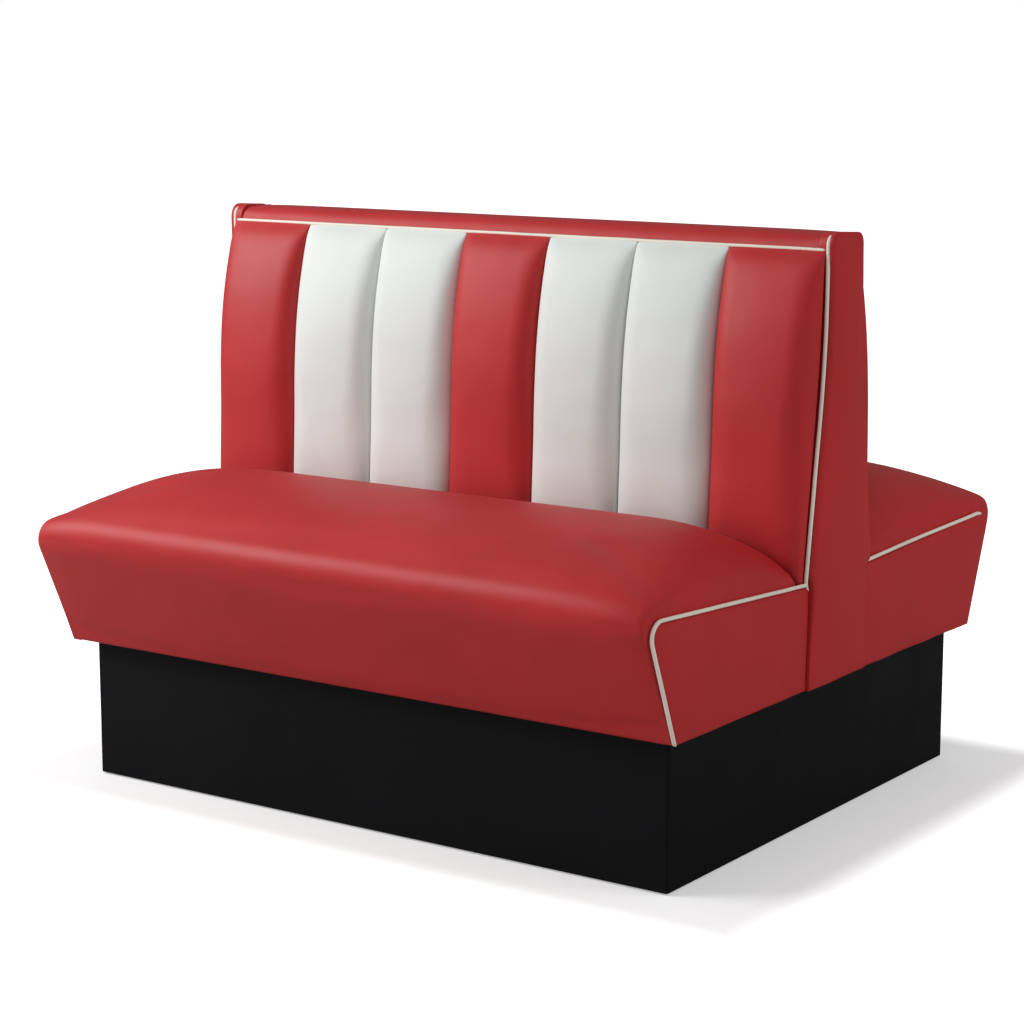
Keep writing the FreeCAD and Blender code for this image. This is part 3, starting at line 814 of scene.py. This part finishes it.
def back_panel_curves(label, seed):
    front, front_top = back_edge(CLOSE_GAP_FRONT, ("front", label) in SHUT_ENDS)
    rear, rear_top = back_edge(CLOSE_GAP_REAR, ("rear", label) in SHUT_ENDS)
    toe_y = front[0][0]
    bottom = [(toe_y * (1 - 2 * k / BACK_HEM_STEPS), BODY_FOOT) for k in range(BACK_HEM_STEPS + 1)]
    return hemmed(bottom, seed), front_top + flipped(rear_top), front, flipped(rear)[::-1]


print("an edge has", len(back_edge(CLOSE_GAP_FRONT, False)[0]), "points")


# %% Backrest end panels
def back_panel(label, side, seed):
    def lift(distance, y, z):
        thick = BACK_PANEL_RIM_HIGH[label] - BACK_PANEL_RIM_LOW
        rim = BACK_PANEL_RIM_LOW + thick * eased(z, *THICKENS_LEVELS)
        proud = (rim * rolled(distance, BACK_PANEL_ROUND)
                 + BACK_PANEL_SWELL * swell(distance, BACK_PANEL_SWELL_REACH))
        # Beside a shut end it lies level with the seat's panel, and rolls over at the foot alone
        level = (SHUT_FACE - BACK_PANEL_BASE
                 - SHUT_RIM * (1 - rolled(max(0, z - BODY_FOOT), SEAT_PANEL_ROUND)))
        flush = eased(side * y, *FLUSH_REACH) * (1 - eased(z, *SHUT_LEVELS))
        return proud + (level - proud) * flush

    name = "back_end_panel_" + label
    curves = back_panel_curves(label, seed)
    piece = panel(name, curves, BACK_PANEL_COUNTS, side, BACK_PANEL_BASE, lift)
    for vertex in piece.data.vertices:
        x, y, z = (value * 1000 for value in vertex.co)
        over = eased(abs(x) - BACK_PANEL_BASE, *CORD_COVER_OUT) * eased(z, *CORD_COVER_LEVELS)
        near = 1 - eased(BACK_HEIGHT - z, *CORD_COVER_NEAR)
        vertex.co.z += mm(CORD_COVER * over * near)
    return piece


back_panels = {}
for label, side in SIDES.items():
    back_panels[label] = back_panel(label, side, BACK_PANEL_SEED + len(back_panels))
corners = back_panels["right"].bound_box
print_size("backrest end panel", corners[0], corners[6])

# %% [markdown]
# ## The top roll
#
# A strip of foam caps the backrest, and the cover is drawn over it from the front seam to the rear
# seam. It could be a long box with round edges, but its ends would stand off the panels. Instead
# one cross section is carried along the back, with its ends pulled in a little where they are sewn
# to the end panels.

# %% Top roll
ROLL_FOOT = TOP_PIPING_LEVEL + TOP_PIPING_DIAMETER / 2 + SEAM_GAP
ROLL_NECK = BACK_HALF_TOP - TOP_PIPING_DIAMETER / 2 - SEAM_GAP
ROLL_LEVEL = BACK_HEIGHT - 2.0
ROLL_SWELL = 0.5
ROLL_PULL = 1.0
ROLL_PULL_REACH = 22.0
ROLL_END_ROWS = (0, 1.5, 4, 8, 13, 19, 26)
ROLL_ROWS = 78
ROLL_CORNER_STEPS = 9
ROLL_TOP_STEPS = 6


def roll_ring(x):
    distance = COVER_HALF_WIDTH - abs(x)
    pull = ROLL_PULL * (1 - swell(distance, ROLL_PULL_REACH))
    centre = (BACK_CORNER[0], ROLL_LEVEL - BACK_CORNER_RADIUS)
    radius = BACK_CORNER_RADIUS - pull
    half = [(-BACK_HALF_TOP + pull, ROLL_FOOT)]
    half += arc_points(centre, radius, math.pi, math.pi / 2, ROLL_CORNER_STEPS)
    for k in range(ROLL_TOP_STEPS):
        y = centre[0] * (1 - k / ROLL_TOP_STEPS)
        half.append((y, ROLL_LEVEL - pull + ROLL_SWELL * (1 - (y / centre[0]) ** 2)))
    outer = half + [(0, ROLL_LEVEL - pull + ROLL_SWELL)] + flipped(half)
    neck = [(ROLL_NECK, ROLL_FOOT), (ROLL_NECK, CHANNEL_TOP)]
    hold = 1 - eased(distance, 0, HELD_REACH)
    points = []
    for k, (y, z) in enumerate(outer):
        steps_in = min(k, len(outer) - 1 - k)
        points.append((x, y, z, max(hold, 1 - steps_in / HELD_STEPS)))
    return points + [(x, y, z, 1) for y, z in neck + flipped(neck)]


def roll_places():
    right = [COVER_HALF_WIDTH - distance for distance in ROLL_END_ROWS]
    half = right[-1]
    middle = [half - 2 * half * step / ROLL_ROWS for step in range(1, ROLL_ROWS)]
    return right + middle + [-x for x in reversed(right)]


top_roll = loft("back_top_roll", [roll_ring(x) for x in roll_places()])
print("the top roll has", len(top_roll.data.polygons), "faces")

# %% [markdown]
# ## The piping
#
# Piping is a cord wrapped in a strip of vinyl and sewn into a seam. A curve with a round bevel
# would do, but a mesh tube lets each ring be a little out of place, as a hand-fed cord is, and
# lets the tail at the foot of the backrest taper into the seam.

# %% One cord
PIPING_SIDES = 16
CORD_WANDER = 0.35
CORD_WAVE = 55.0
RING_STEP = 9.0


def tube(name, path, radii, across, seed):
    # across: the direction that is square to the whole path
    across = Vector(across)
    rings = []
    for k, place in enumerate(path):
        ahead = Vector(path[min(k + 1, len(path) - 1)]) - Vector(path[max(k - 1, 0)])
        aside = ahead.normalized().cross(across)
        sway = CORD_WANDER * noise.noise(Vector((k * RING_STEP / CORD_WAVE, seed, 0)))
        centre = Vector(place) + aside * sway
        ring = []
        for number in range(PIPING_SIDES):
            angle = 2 * math.pi * number / PIPING_SIDES
            spoke = across * math.cos(angle) + aside * math.sin(angle)
            ring.append(tuple(centre + spoke * radii[k]))
        rings.append(ring)
    return loft(name, rings)


print("a cord has", PIPING_SIDES, "sides")

# %% Paths of the cords
CORD_FOOT = 1.5
CORD_BURIED = 5.0
# Steps up the front, round the nose and along the top
SEAT_CORD_STEPS = (18, 12, 56)
# The tail comes out of the seam at the foot of the backrest
TAIL_PATH = [(-92.5, 398.5), (-95.5, 401.5), (-99.0, 405.5), (-101.8, 410.5)]
TAIL_TOP = 416.0
CORD_STEP = 10.0
CORNER_STEPS = 9
TOP_SINK = 8.0
TOP_SINK_FROM = 0.45
TOP_SINK_STEPS = 3


def seat_piping_path(side, shut, lift):
    profile, rear, fall = end_seam(lift)
    nose, radius = profile["nose"]
    outward, upward = profile["lean"] + math.pi / 2, fall + math.pi / 2
    front_steps, nose_steps, top_steps = SEAT_CORD_STEPS
    deep = CORD_BURIED if shut else 0
    low = front_line_at(profile, deep, BODY_FOOT + CORD_FOOT)
    path = line_points(low, on_circle(nose, radius - deep, outward), front_steps)
    path += arc_points(nose, radius - deep, outward, upward, nose_steps)
    path = [(deep, y, z) for y, z in path]
    for y, z in line_points(on_circle(nose, radius, upward), rear, top_steps) + [rear]:
        path.append((deep * shut_share(y), y, z - deep * shut_share(y)))
    return [
        (side * (SEW_HALF_WIDTH + (shut_shift(y) if shut else 0) - aside), y, z)
        for aside, y, z in path
    ]


def back_piping_path():
    # From the tip of the front tail over the top to the tip of the rear tail
    front = TAIL_PATH + back_side_path(lambda z: 0, TAIL_TOP, BACK_CORNER[1], CORD_STEP)
    # Over the corner the cord dives between roll and panel, so it doesn't show along the top
    for step in range(1, CORNER_STEPS + 1):
        radius = BACK_CORNER_RADIUS - TOP_SINK * eased(step / CORNER_STEPS, TOP_SINK_FROM, 1)
        front.append(on_circle(BACK_CORNER, radius, math.pi * (1 - step / (2 * CORNER_STEPS))))
    middle = (0, BACK_HEIGHT - TOP_SINK)
    front += line_points(front[-1], middle, TOP_SINK_STEPS)[1:]
    return front + [middle] + flipped(front)


print("the cord of the backrest has", len(back_piping_path()), "rings")

# %% All cords
CORD_RADIUS = 3.2
TAIL_RADII = [0.7, 1.6, 2.5, 3.0]
BURIED_LEVELS = (840.0, 900.0)
TOP_CORD_STEPS = 120
BACK_CORD_SEED, TOP_CORD_SEED = 7, 11

pipings = {}
back_path = back_piping_path()
plain_radii = [CORD_RADIUS] * (len(back_path) - 2 * len(TAIL_RADII))
back_radii = TAIL_RADII + plain_radii + TAIL_RADII[::-1]
for index, (label, side) in enumerate(SIDES.items()):
    for seat, turn in (("front", 1), ("rear", -1)):
        lift = REAR_SEAT_LIFT if seat == "rear" else 0
        path = seat_piping_path(side, (seat, label) in SHUT_ENDS, lift)
        points = [(x, turn * y, z) for x, y, z in path]
        cord = tube(seat + "_seat_piping_cord_" + label, points, [CORD_RADIUS] * len(points),
                    (1, 0, 0), index + turn)
        pipings[seat + "_seat_piping_" + label] = cord
    points = []
    for y, z in back_path:
        # Above a shut end the cord lies deep in its seam, except near the top
        deep = CORD_BURIED * (1 - eased(z, *BURIED_LEVELS)) if side * y > 0 else 0
        points.append((side * (SEW_HALF_WIDTH - deep), y - side * deep, z))
    cord = tube("back_piping_cord_" + label, points, back_radii, (1, 0, 0), index + BACK_CORD_SEED)
    pipings["back_piping_" + label] = cord
for seat, turn in (("front", -1), ("rear", 1)):
    points = [
        (COVER_HALF_WIDTH * (2 * k / TOP_CORD_STEPS - 1), turn * BACK_HALF_TOP, TOP_PIPING_LEVEL)
        for k in range(TOP_CORD_STEPS + 1)
    ]
    cord = tube("back_top_piping_cord_" + seat, points, [TOP_PIPING_DIAMETER / 2] * len(points),
                (0, 1, 0), turn + TOP_CORD_SEED)
    pipings["back_top_piping_" + seat] = cord
print(len(pipings), "pipings")

# %% [markdown]
# ## Filling the covers
#
# Foam presses a cover outwards until the cloth is tight. A short cloth simulation does the same:
# the seams are held, a gentle pressure blows the skin out from a form that starts slightly too
# small, and gravity is off, because the foam carries the skin. A soft limit keeps each point near
# its place, so the size stays true. All pieces are simulated side by side, the result is written
# into the meshes, and one subdivision makes them smooth.

# %% Simulation
START_SMALLER = 1.2
PRESSURE = 4.0
LAST_FRAME = 20
LIMIT = 3.0
CLOTH_QUALITY = 5
CLOTH_MASS = 0.5
STRETCH_STIFFNESS = 30.0
SHEAR_STIFFNESS = 15.0
BENDING_STIFFNESS = 2.0


def add_cloth(piece):
    mesh = piece.data
    held = [item.value for item in mesh.attributes["held"].data]
    group = piece.vertex_groups.new(name="held")
    for index, value in enumerate(held):
        group.add([index], value, "REPLACE")
    normals = [vertex.normal.copy() for vertex in mesh.vertices]
    for vertex, normal, value in zip(mesh.vertices, normals, held):
        vertex.co -= normal * mm(START_SMALLER) * (1 - value)
    cloth = piece.modifiers.new("fill", "CLOTH")
    settings = cloth.settings
    settings.quality = CLOTH_QUALITY
    settings.mass = CLOTH_MASS
    settings.tension_stiffness = settings.compression_stiffness = STRETCH_STIFFNESS
    settings.shear_stiffness = SHEAR_STIFFNESS
    settings.bending_stiffness = BENDING_STIFFNESS
    settings.vertex_group_mass = "held"
    settings.use_pressure = True
    settings.uniform_pressure_force = PRESSURE
    settings.effector_weights.gravity = 0
    cloth.collision_settings.use_collision = False
    cloth.point_cache.frame_start = 1
    cloth.point_cache.frame_end = LAST_FRAME
    return cloth


def keep_result(piece, cloth):
    start = [vertex.co.copy() for vertex in piece.data.vertices]
    evaluated = piece.evaluated_get(bpy.context.evaluated_depsgraph_get())
    moves = [vertex.co - place for vertex, place in zip(evaluated.data.vertices, start)]
    piece.modifiers.remove(cloth)
    far = mm(LIMIT)
    for vertex, place, move in zip(piece.data.vertices, start, moves):
        length = move.length
        if length > 0:
            vertex.co = place + move * (far * math.tanh(length / far) / length)
    return max(move.length for move in moves) * 1000


def fill_covers(covers):
    scene = bpy.context.scene
    cloths = [(piece, add_cloth(piece)) for piece in covers]
    for number in range(1, LAST_FRAME + 1):
        scene.frame_set(number)
    farthest = [keep_result(piece, cloth) for piece, cloth in cloths]
    scene.frame_set(1)
    return max(farthest)


padded_pieces = [front_cushion, rear_cushion, top_roll]
padded_pieces += list(channels.values()) + list(seat_panels.values()) + list(back_panels.values())
print("the skin wants to move up to %.1f mm" % fill_covers(padded_pieces))
for piece in padded_pieces + list(pipings.values()):
    smooth = piece.modifiers.new("smooth", "SUBSURF")
    smooth.levels = smooth.render_levels = 1
print("filled after %.0f s" % (time.time() - started))

# %% [markdown]
# ## Joining the pieces to the model
#
# Each piece rides on the model and stands for the solids that it replaces.

# %% Rides and replacements
def fit(piece, slot, *nodes):
    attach(piece, "root")
    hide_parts(*nodes)


fit(front_cushion, RED, "front_seat_foam", "front_seat_cover")
fit(rear_cushion, RED, "rear_seat_foam", "rear_seat_cover")
fit(top_roll, RED, "back_top_foam", "back_top_cover")
for (seat, number), piece in channels.items():
    fit(piece, CHANNEL_SLOTS[number - 1], "%s_channel_%d" % (seat, number))
for (seat, label), piece in seat_panels.items():
    fit(piece, RED, "%s_seat_end_pad_%s" % (seat, label))
for label, piece in back_panels.items():
    fit(piece, RED, "back_end_pad_" + label)
for node, piece in pipings.items():
    fit(piece, CORD, node)
print(len(padded_pieces), "padded pieces")

# %% [markdown]
# ## Materials
#
# Colours are written as on a paint card, in sRGB hex, and turned to the linear values that Blender
# works with. One small function adds a node with its settings and its links.

# %% Colours and nodes
def linear(hex_colour):
    values = [int(hex_colour[k:k + 2], 16) / 255 for k in (1, 3, 5)]
    values = [v / 12.92 if v <= 0.04045 else ((v + 0.055) / 1.055) ** 2.4 for v in values]
    return (*values, 1.0)


def set_inputs(tree, node, inputs):
    # A socket is linked, and a number or colour is set
    for key, value in inputs.items():
        if isinstance(value, bpy.types.NodeSocket):
            tree.links.new(value, node.inputs[key])
        else:
            node.inputs[key].default_value = value


def add_node(tree, kind, inputs=None, **settings):
    node = tree.nodes.new("ShaderNode" + kind)
    for key, value in settings.items():
        setattr(node, key, value)
    set_inputs(tree, node, inputs or {})
    return node


def new_material(name):
    material = bpy.data.materials.new(name)
    material.use_nodes = True
    tree = material.node_tree
    shader = tree.nodes["Principled BSDF"]
    place = add_node(tree, "TexCoord").outputs["Object"]
    return material, tree, shader, place


def per_metre(millimetres):
    # Scale of a texture whose pattern repeats at this size
    return 1000 / millimetres


def dress(piece, material):
    piece.data.materials.clear()
    piece.data.materials.append(material)

# %% [markdown]
# Upholstery vinyl is a soft PVC skin on a knitted backing, rolled under heat against a grained
# steel cylinder. The eye gets an even, saturated colour, a broad soft highlight, and a fine grain
# that only shows where light grazes it. The grain is about 1 mm on the real cloth; it is drawn at
# 3 mm here, because a finer one would fall between the pixels. Slow waves in the bump stand for
# the foam underneath, which is never quite level.

# %% Upholstery vinyl
VINYL_IOR = 1.53
VINYL_GLOSS = 0.45
GRAIN_SIZE = 3.0
GRAIN_DEPTH = 0.02
WAVE_SIZE = 90.0
WAVE_DEPTH = 2.5
SHADE_SIZE = 160.0
RUB = 0.03
# Most of a noise lies between these two values
NOISE_SPAN = (0.3, 0.7)


def upholstery_vinyl(name, light, dark, roughness):
    material, tree, shader, place = new_material(name)
    shade = add_node(tree, "TexNoise", {
        "Vector": place, "Scale": per_metre(SHADE_SIZE), "Detail": 3.0})
    colour = add_node(tree, "ValToRGB", {"Fac": shade.outputs["Fac"]})
    for stop, position, value in zip(colour.color_ramp.elements, NOISE_SPAN, (dark, light)):
        stop.position, stop.color = position, linear(value)
    rub = add_node(tree, "MapRange", {
        "Value": shade.outputs["Fac"], "From Min": NOISE_SPAN[0], "From Max": NOISE_SPAN[1],
        "To Min": roughness - RUB, "To Max": roughness + RUB,
    })
    grain = add_node(tree, "TexVoronoi", {"Vector": place, "Scale": per_metre(GRAIN_SIZE)},
                     feature="SMOOTH_F1")
    wave = add_node(tree, "TexNoise", {
        "Vector": place, "Scale": per_metre(WAVE_SIZE), "Detail": 1.0})
    slow = add_node(tree, "Bump", {
        "Height": wave.outputs["Fac"], "Strength": 1.0, "Distance": mm(WAVE_DEPTH)})
    fine = add_node(tree, "Bump", {
        "Height": grain.outputs["Distance"], "Strength": 1.0,
        "Distance": mm(GRAIN_DEPTH), "Normal": slow.outputs["Normal"],
    })
    set_inputs(tree, shader, {
        "IOR": VINYL_IOR, "Specular IOR Level": VINYL_GLOSS,
        "Base Color": colour.outputs["Color"], "Roughness": rub.outputs["Result"],
        "Normal": fine.outputs["Normal"],
    })
    return material


red_vinyl = upholstery_vinyl("red upholstery vinyl", "#BE2426", "#B42123", 0.56)
white_vinyl = upholstery_vinyl("white upholstery vinyl", "#E0E5E2", "#DADFDB", 0.60)
piping_vinyl = upholstery_vinyl("off-white piping vinyl", "#F0E9DB", "#E6DED0", 0.50)
print("vinyl grain every", GRAIN_SIZE, "mm")

# %% Dress the upholstery
for piece in padded_pieces:
    dress(piece, red_vinyl)
for (seat, number), piece in channels.items():
    if CHANNEL_SLOTS[number - 1] == WHITE:
        dress(piece, white_vinyl)
for piece in pipings.values():
    dress(piece, piping_vinyl)

# %% [markdown]
# The plinth is faced with black high-pressure laminate: paper soaked in resin, pressed against a
# matt plate. The eye gets a deep, nearly neutral black with a very weak, wide sheen, and up close a
# faint orange-peel. Where the boards are handled and kicked, the satin is polished a little.

# %% Black laminate
LAMINATE_IOR = 1.5
LAMINATE_GLOSS = 0.15
LAMINATE_ROUGHNESS = (0.50, 0.60)
LAMINATE_SPAN = (0.3, 0.75)
CLOUD_SIZE = 140.0
PEEL_SIZE, PEEL_DEPTH = 4.0, 0.05


def black_laminate():
    material, tree, shader, place = new_material("black laminate")
    cloud = add_node(tree, "TexNoise", {
        "Vector": place, "Scale": per_metre(CLOUD_SIZE), "Detail": 4.0})
    colour = add_node(tree, "ValToRGB", {"Fac": cloud.outputs["Fac"]})
    stops = zip(colour.color_ramp.elements, LAMINATE_SPAN, ("#08090C", "#0C0D10"))
    for stop, position, value in stops:
        stop.position, stop.color = position, linear(value)
    rub = add_node(tree, "MapRange", {
        "Value": cloud.outputs["Fac"], "From Min": NOISE_SPAN[0], "From Max": NOISE_SPAN[1],
        "To Min": LAMINATE_ROUGHNESS[0], "To Max": LAMINATE_ROUGHNESS[1],
    })
    peel = add_node(tree, "TexNoise", {
        "Vector": place, "Scale": per_metre(PEEL_SIZE), "Detail": 2.0})
    bump = add_node(tree, "Bump", {
        "Height": peel.outputs["Fac"], "Strength": 1.0, "Distance": mm(PEEL_DEPTH)})
    set_inputs(tree, shader, {
        "IOR": LAMINATE_IOR, "Specular IOR Level": LAMINATE_GLOSS,
        "Base Color": colour.outputs["Color"], "Roughness": rub.outputs["Result"],
        "Normal": bump.outputs["Normal"],
    })
    return material

# %% [markdown]
# The boards inside are birch plywood and planed softwood. Birch ply is rotary cut, so its face
# shows wide, wandering grain, pale and matt; softwood shows narrow parallel rings. Both are
# stretched noise: long along the grain, short across it.

# %% Timber
TIMBER_ROUGHNESS = 0.65
GRAIN_SPAN = (0.2, 0.8)
FIBRE_SIZE, FIBRE_DEPTH, FIBRE_SHARE = 2.0, 0.1, 0.35
# The wave texture multiplies its scale by this
WAVE_FACTOR = 20


def timber(name, light, dark, ring_width, waviness, stretch):
    material, tree, shader, place = new_material(name)
    long_grain = add_node(tree, "Mapping", {"Vector": place, "Scale": stretch})
    rings = add_node(tree, "TexWave", {
        "Vector": long_grain.outputs["Vector"], "Scale": per_metre(ring_width) / WAVE_FACTOR,
        "Distortion": waviness, "Detail": 3.0, "Detail Scale": 1.5,
    }, wave_type="BANDS", bands_direction="Z")
    fibre = add_node(tree, "TexNoise", {
        "Vector": long_grain.outputs["Vector"], "Scale": per_metre(FIBRE_SIZE), "Detail": 4.0})
    blend = add_node(tree, "Mix", {
        0: FIBRE_SHARE, 2: rings.outputs["Fac"], 3: fibre.outputs["Fac"]},
                     data_type="FLOAT")
    colour = add_node(tree, "ValToRGB", {"Fac": blend.outputs[0]})
    for stop, position, value in zip(colour.color_ramp.elements, GRAIN_SPAN, (dark, light)):
        stop.position, stop.color = position, linear(value)
    bump = add_node(tree, "Bump", {
        "Height": fibre.outputs["Fac"], "Strength": 1.0, "Distance": mm(FIBRE_DEPTH)})
    set_inputs(tree, shader, {
        "Roughness": TIMBER_ROUGHNESS, "Base Color": colour.outputs["Color"],
        "Normal": bump.outputs["Normal"],
    })
    return material

# %% [markdown]
# Two small fittings stay out of sight. The bolts are zinc-plated steel, which has a cool grey,
# slightly cloudy gloss. The glides are moulded polyethylene: soft black plastic with a waxy, matt
# skin.

# %% Zinc plating and moulded glides
CLOUD_DEPTH = 0.03
CLOUD_RUB = 0.06


def cloudy(name, light, dark, cloud_size, roughness, metallic):
    material, tree, shader, place = new_material(name)
    cloud = add_node(tree, "TexNoise", {
        "Vector": place, "Scale": per_metre(cloud_size), "Detail": 3.0})
    colour = add_node(tree, "ValToRGB", {"Fac": cloud.outputs["Fac"]})
    for stop, position, value in zip(colour.color_ramp.elements, NOISE_SPAN, (dark, light)):
        stop.position, stop.color = position, linear(value)
    rub = add_node(tree, "MapRange", {
        "Value": cloud.outputs["Fac"], "To Min": roughness - CLOUD_RUB,
        "To Max": roughness + CLOUD_RUB})
    bump = add_node(tree, "Bump", {
        "Height": cloud.outputs["Fac"], "Strength": 1.0, "Distance": mm(CLOUD_DEPTH)})
    set_inputs(tree, shader, {
        "Metallic": metallic, "Base Color": colour.outputs["Color"],
        "Roughness": rub.outputs["Result"], "Normal": bump.outputs["Normal"],
    })
    return material


# %% Dress the boards and fittings
finishes = {
    "black_laminate": black_laminate(),
    "plywood": timber("birch plywood", "#CDAE80", "#B48F5E", 9, 6.0, (1.0, 12.0, 12.0)),
    "softwood": timber("planed softwood", "#D3AF7A", "#B98A52", 4, 2.0, (0.6, 14.0, 14.0)),
    "bolt_steel": cloudy("zinc-plated steel", "#B9BCC0", "#A2A5AA", 6, 0.34, 1.0),
    "glide_plastic": cloudy("moulded polyethylene", "#26262A", "#1E1E20", 12, 0.5, 0.0),
}
slots = {row["node"]: row["material_slot"] for row in frame["record"]["subparts"]}
for name, node in frame["nodes"].items():
    if slots[name] in finishes:
        dress(node, finishes[slots[name]])
print("dressed", sum(slot in finishes for slot in slots.values()), "boards and fittings")

# %% [markdown]
# ## Light and floor
#
# The photograph has one large soft light at the front left, high up, a pale room all round, and a
# white page behind. One bright lamp alone would leave the right end black, so two weak lamps fill
# the front and that end. They are left out of reflections, because the photograph shows the
# highlight of the large light only. The camera sees the world as the white page. In reflections
# the room is darker than the page: at full white, the red vinyl would turn pink. Places and sizes
# are in metres here.

# %% Lamps
def add_area(name, place, target, size, power):
    data = bpy.data.lights.new(name, "AREA")
    data.shape = "RECTANGLE"
    data.size, data.size_y = size
    data.energy = power
    lamp = bpy.data.objects.new(name, data)
    lamp.location = place
    lamp.rotation_euler = (Vector(target) - Vector(place)).to_track_quat("-Z", "Y").to_euler()
    bpy.context.scene.collection.objects.link(lamp)
    return lamp


key = add_area("key", (-2.35, -1.95, 2.35), (-0.1, -0.2, 0.5), (1.8, 1.8), 91)
side_fill = add_area("side fill", (3.5, 0.8, 1.4), (0.6, 0, 0.5), (1.5, 1.5), 31)
front_fill = add_area("front fill", (0.5, -3.6, 0.45), (0, -0.3, 0.4), (1.6, 1.2), 18)
for lamp in (side_fill, front_fill):
    lamp.visible_glossy = False
print("the key lamp has %.0f watts" % key.data.energy)

# %% Room
ROOM_LEVEL = 0.38
REFLECTED_LEVEL = 0.2


def add_room():
    world = bpy.data.worlds.new("pale room")
    world.use_nodes = True
    tree = world.node_tree
    tree.nodes.clear()
    rays = add_node(tree, "LightPath")
    seen = add_node(tree, "Math", {
        0: rays.outputs["Is Camera Ray"], 1: rays.outputs["Is Transmission Ray"],
    }, operation="MAXIMUM")
    dim = add_node(tree, "MapRange", {
        "Value": rays.outputs["Is Glossy Ray"], "To Min": ROOM_LEVEL, "To Max": REFLECTED_LEVEL})
    level = add_node(tree, "Mix", {
        0: seen.outputs[0], 2: dim.outputs["Result"], 3: 1.0}, data_type="FLOAT")
    room = add_node(tree, "Background", {"Color": (1, 1, 1, 1), "Strength": level.outputs[0]})
    add_node(tree, "OutputWorld", {"Surface": room.outputs["Background"]})
    return world


bpy.context.scene.world = add_room()
print("the room lights at", ROOM_LEVEL, "and is reflected at", REFLECTED_LEVEL)

# %% [markdown]
# The floor is white paper that keeps the booth's shadow. Plain white everywhere would lose the
# shadow, and plain paper would show an edge against the page. So the paper only glows weakly
# inside a box round the booth, and beyond it the glow grows to the white of the page, for the
# camera alone. Towards the booth the paper is a little greyer, or it would throw too much light
# under the seats.

# %% White floor
FLOOR_HALF = 12.0
SHADOW_REACH = (0.70, 0.53)
SHADOW_FADE = 0.12
SHADOW_GLOW = 0.34
PAPER_SEEN, PAPER_BOUNCE = "#E0E0E0", "#AEAEAE"


def add_floor():
    mesh = bpy.data.meshes.new("floor")
    half = FLOOR_HALF
    corners = [(-half, -half, 0), (half, -half, 0), (half, half, 0), (-half, half, 0)]
    mesh.from_pydata(corners, [], [(0, 1, 2, 3)])
    floor = bpy.data.objects.new("floor", mesh)
    bpy.context.scene.collection.objects.link(floor)
    floor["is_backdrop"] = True
    material = bpy.data.materials.new("white paper")
    material.use_nodes = True
    tree = material.node_tree
    tree.nodes.clear()
    place = add_node(tree, "TexCoord").outputs["Object"]
    sides = add_node(tree, "VectorMath", {0: place}, operation="ABSOLUTE")
    beyond = add_node(tree, "VectorMath", {
        0: sides.outputs[0], 1: SHADOW_REACH + (0,)}, operation="SUBTRACT")
    part = add_node(tree, "SeparateXYZ", {0: beyond.outputs[0]})
    reach = add_node(tree, "Math", {0: part.outputs[0], 1: part.outputs[1]}, operation="MAXIMUM")
    away = add_node(tree, "MapRange", {
        "Value": reach.outputs[0], "From Min": 0.0, "From Max": SHADOW_FADE,
        "To Min": SHADOW_GLOW, "To Max": 1.0,
    }, interpolation_type="SMOOTHSTEP")
    seen = add_node(tree, "LightPath").outputs["Is Camera Ray"]
    glow = add_node(tree, "Math", {0: seen, 1: away.outputs["Result"]}, operation="MULTIPLY")
    tone = add_node(tree, "Mix", {
        0: seen, 6: linear(PAPER_BOUNCE), 7: linear(PAPER_SEEN)}, data_type="RGBA")
    paper = add_node(tree, "BsdfDiffuse", {"Color": tone.outputs[2]})
    page = add_node(tree, "Emission", {"Color": (1, 1, 1, 1), "Strength": glow.outputs[0]})
    both = add_node(tree, "AddShader", {0: paper.outputs[0], 1: page.outputs[0]})
    add_node(tree, "OutputMaterial", {"Surface": both.outputs[0]})
    dress(floor, material)
    return floor


print("the paper is %.0f m wide" % add_floor().dimensions.x)

# %% [markdown]
# ## The size after dressing
#
# The dressed booth has to stay as large as the model it was built round.

# %% Sizes and finish
dressed_low, dressed_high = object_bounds()
print_size("dressed", dressed_low, dressed_high)
print("done after %.0f s" % (time.time() - started))
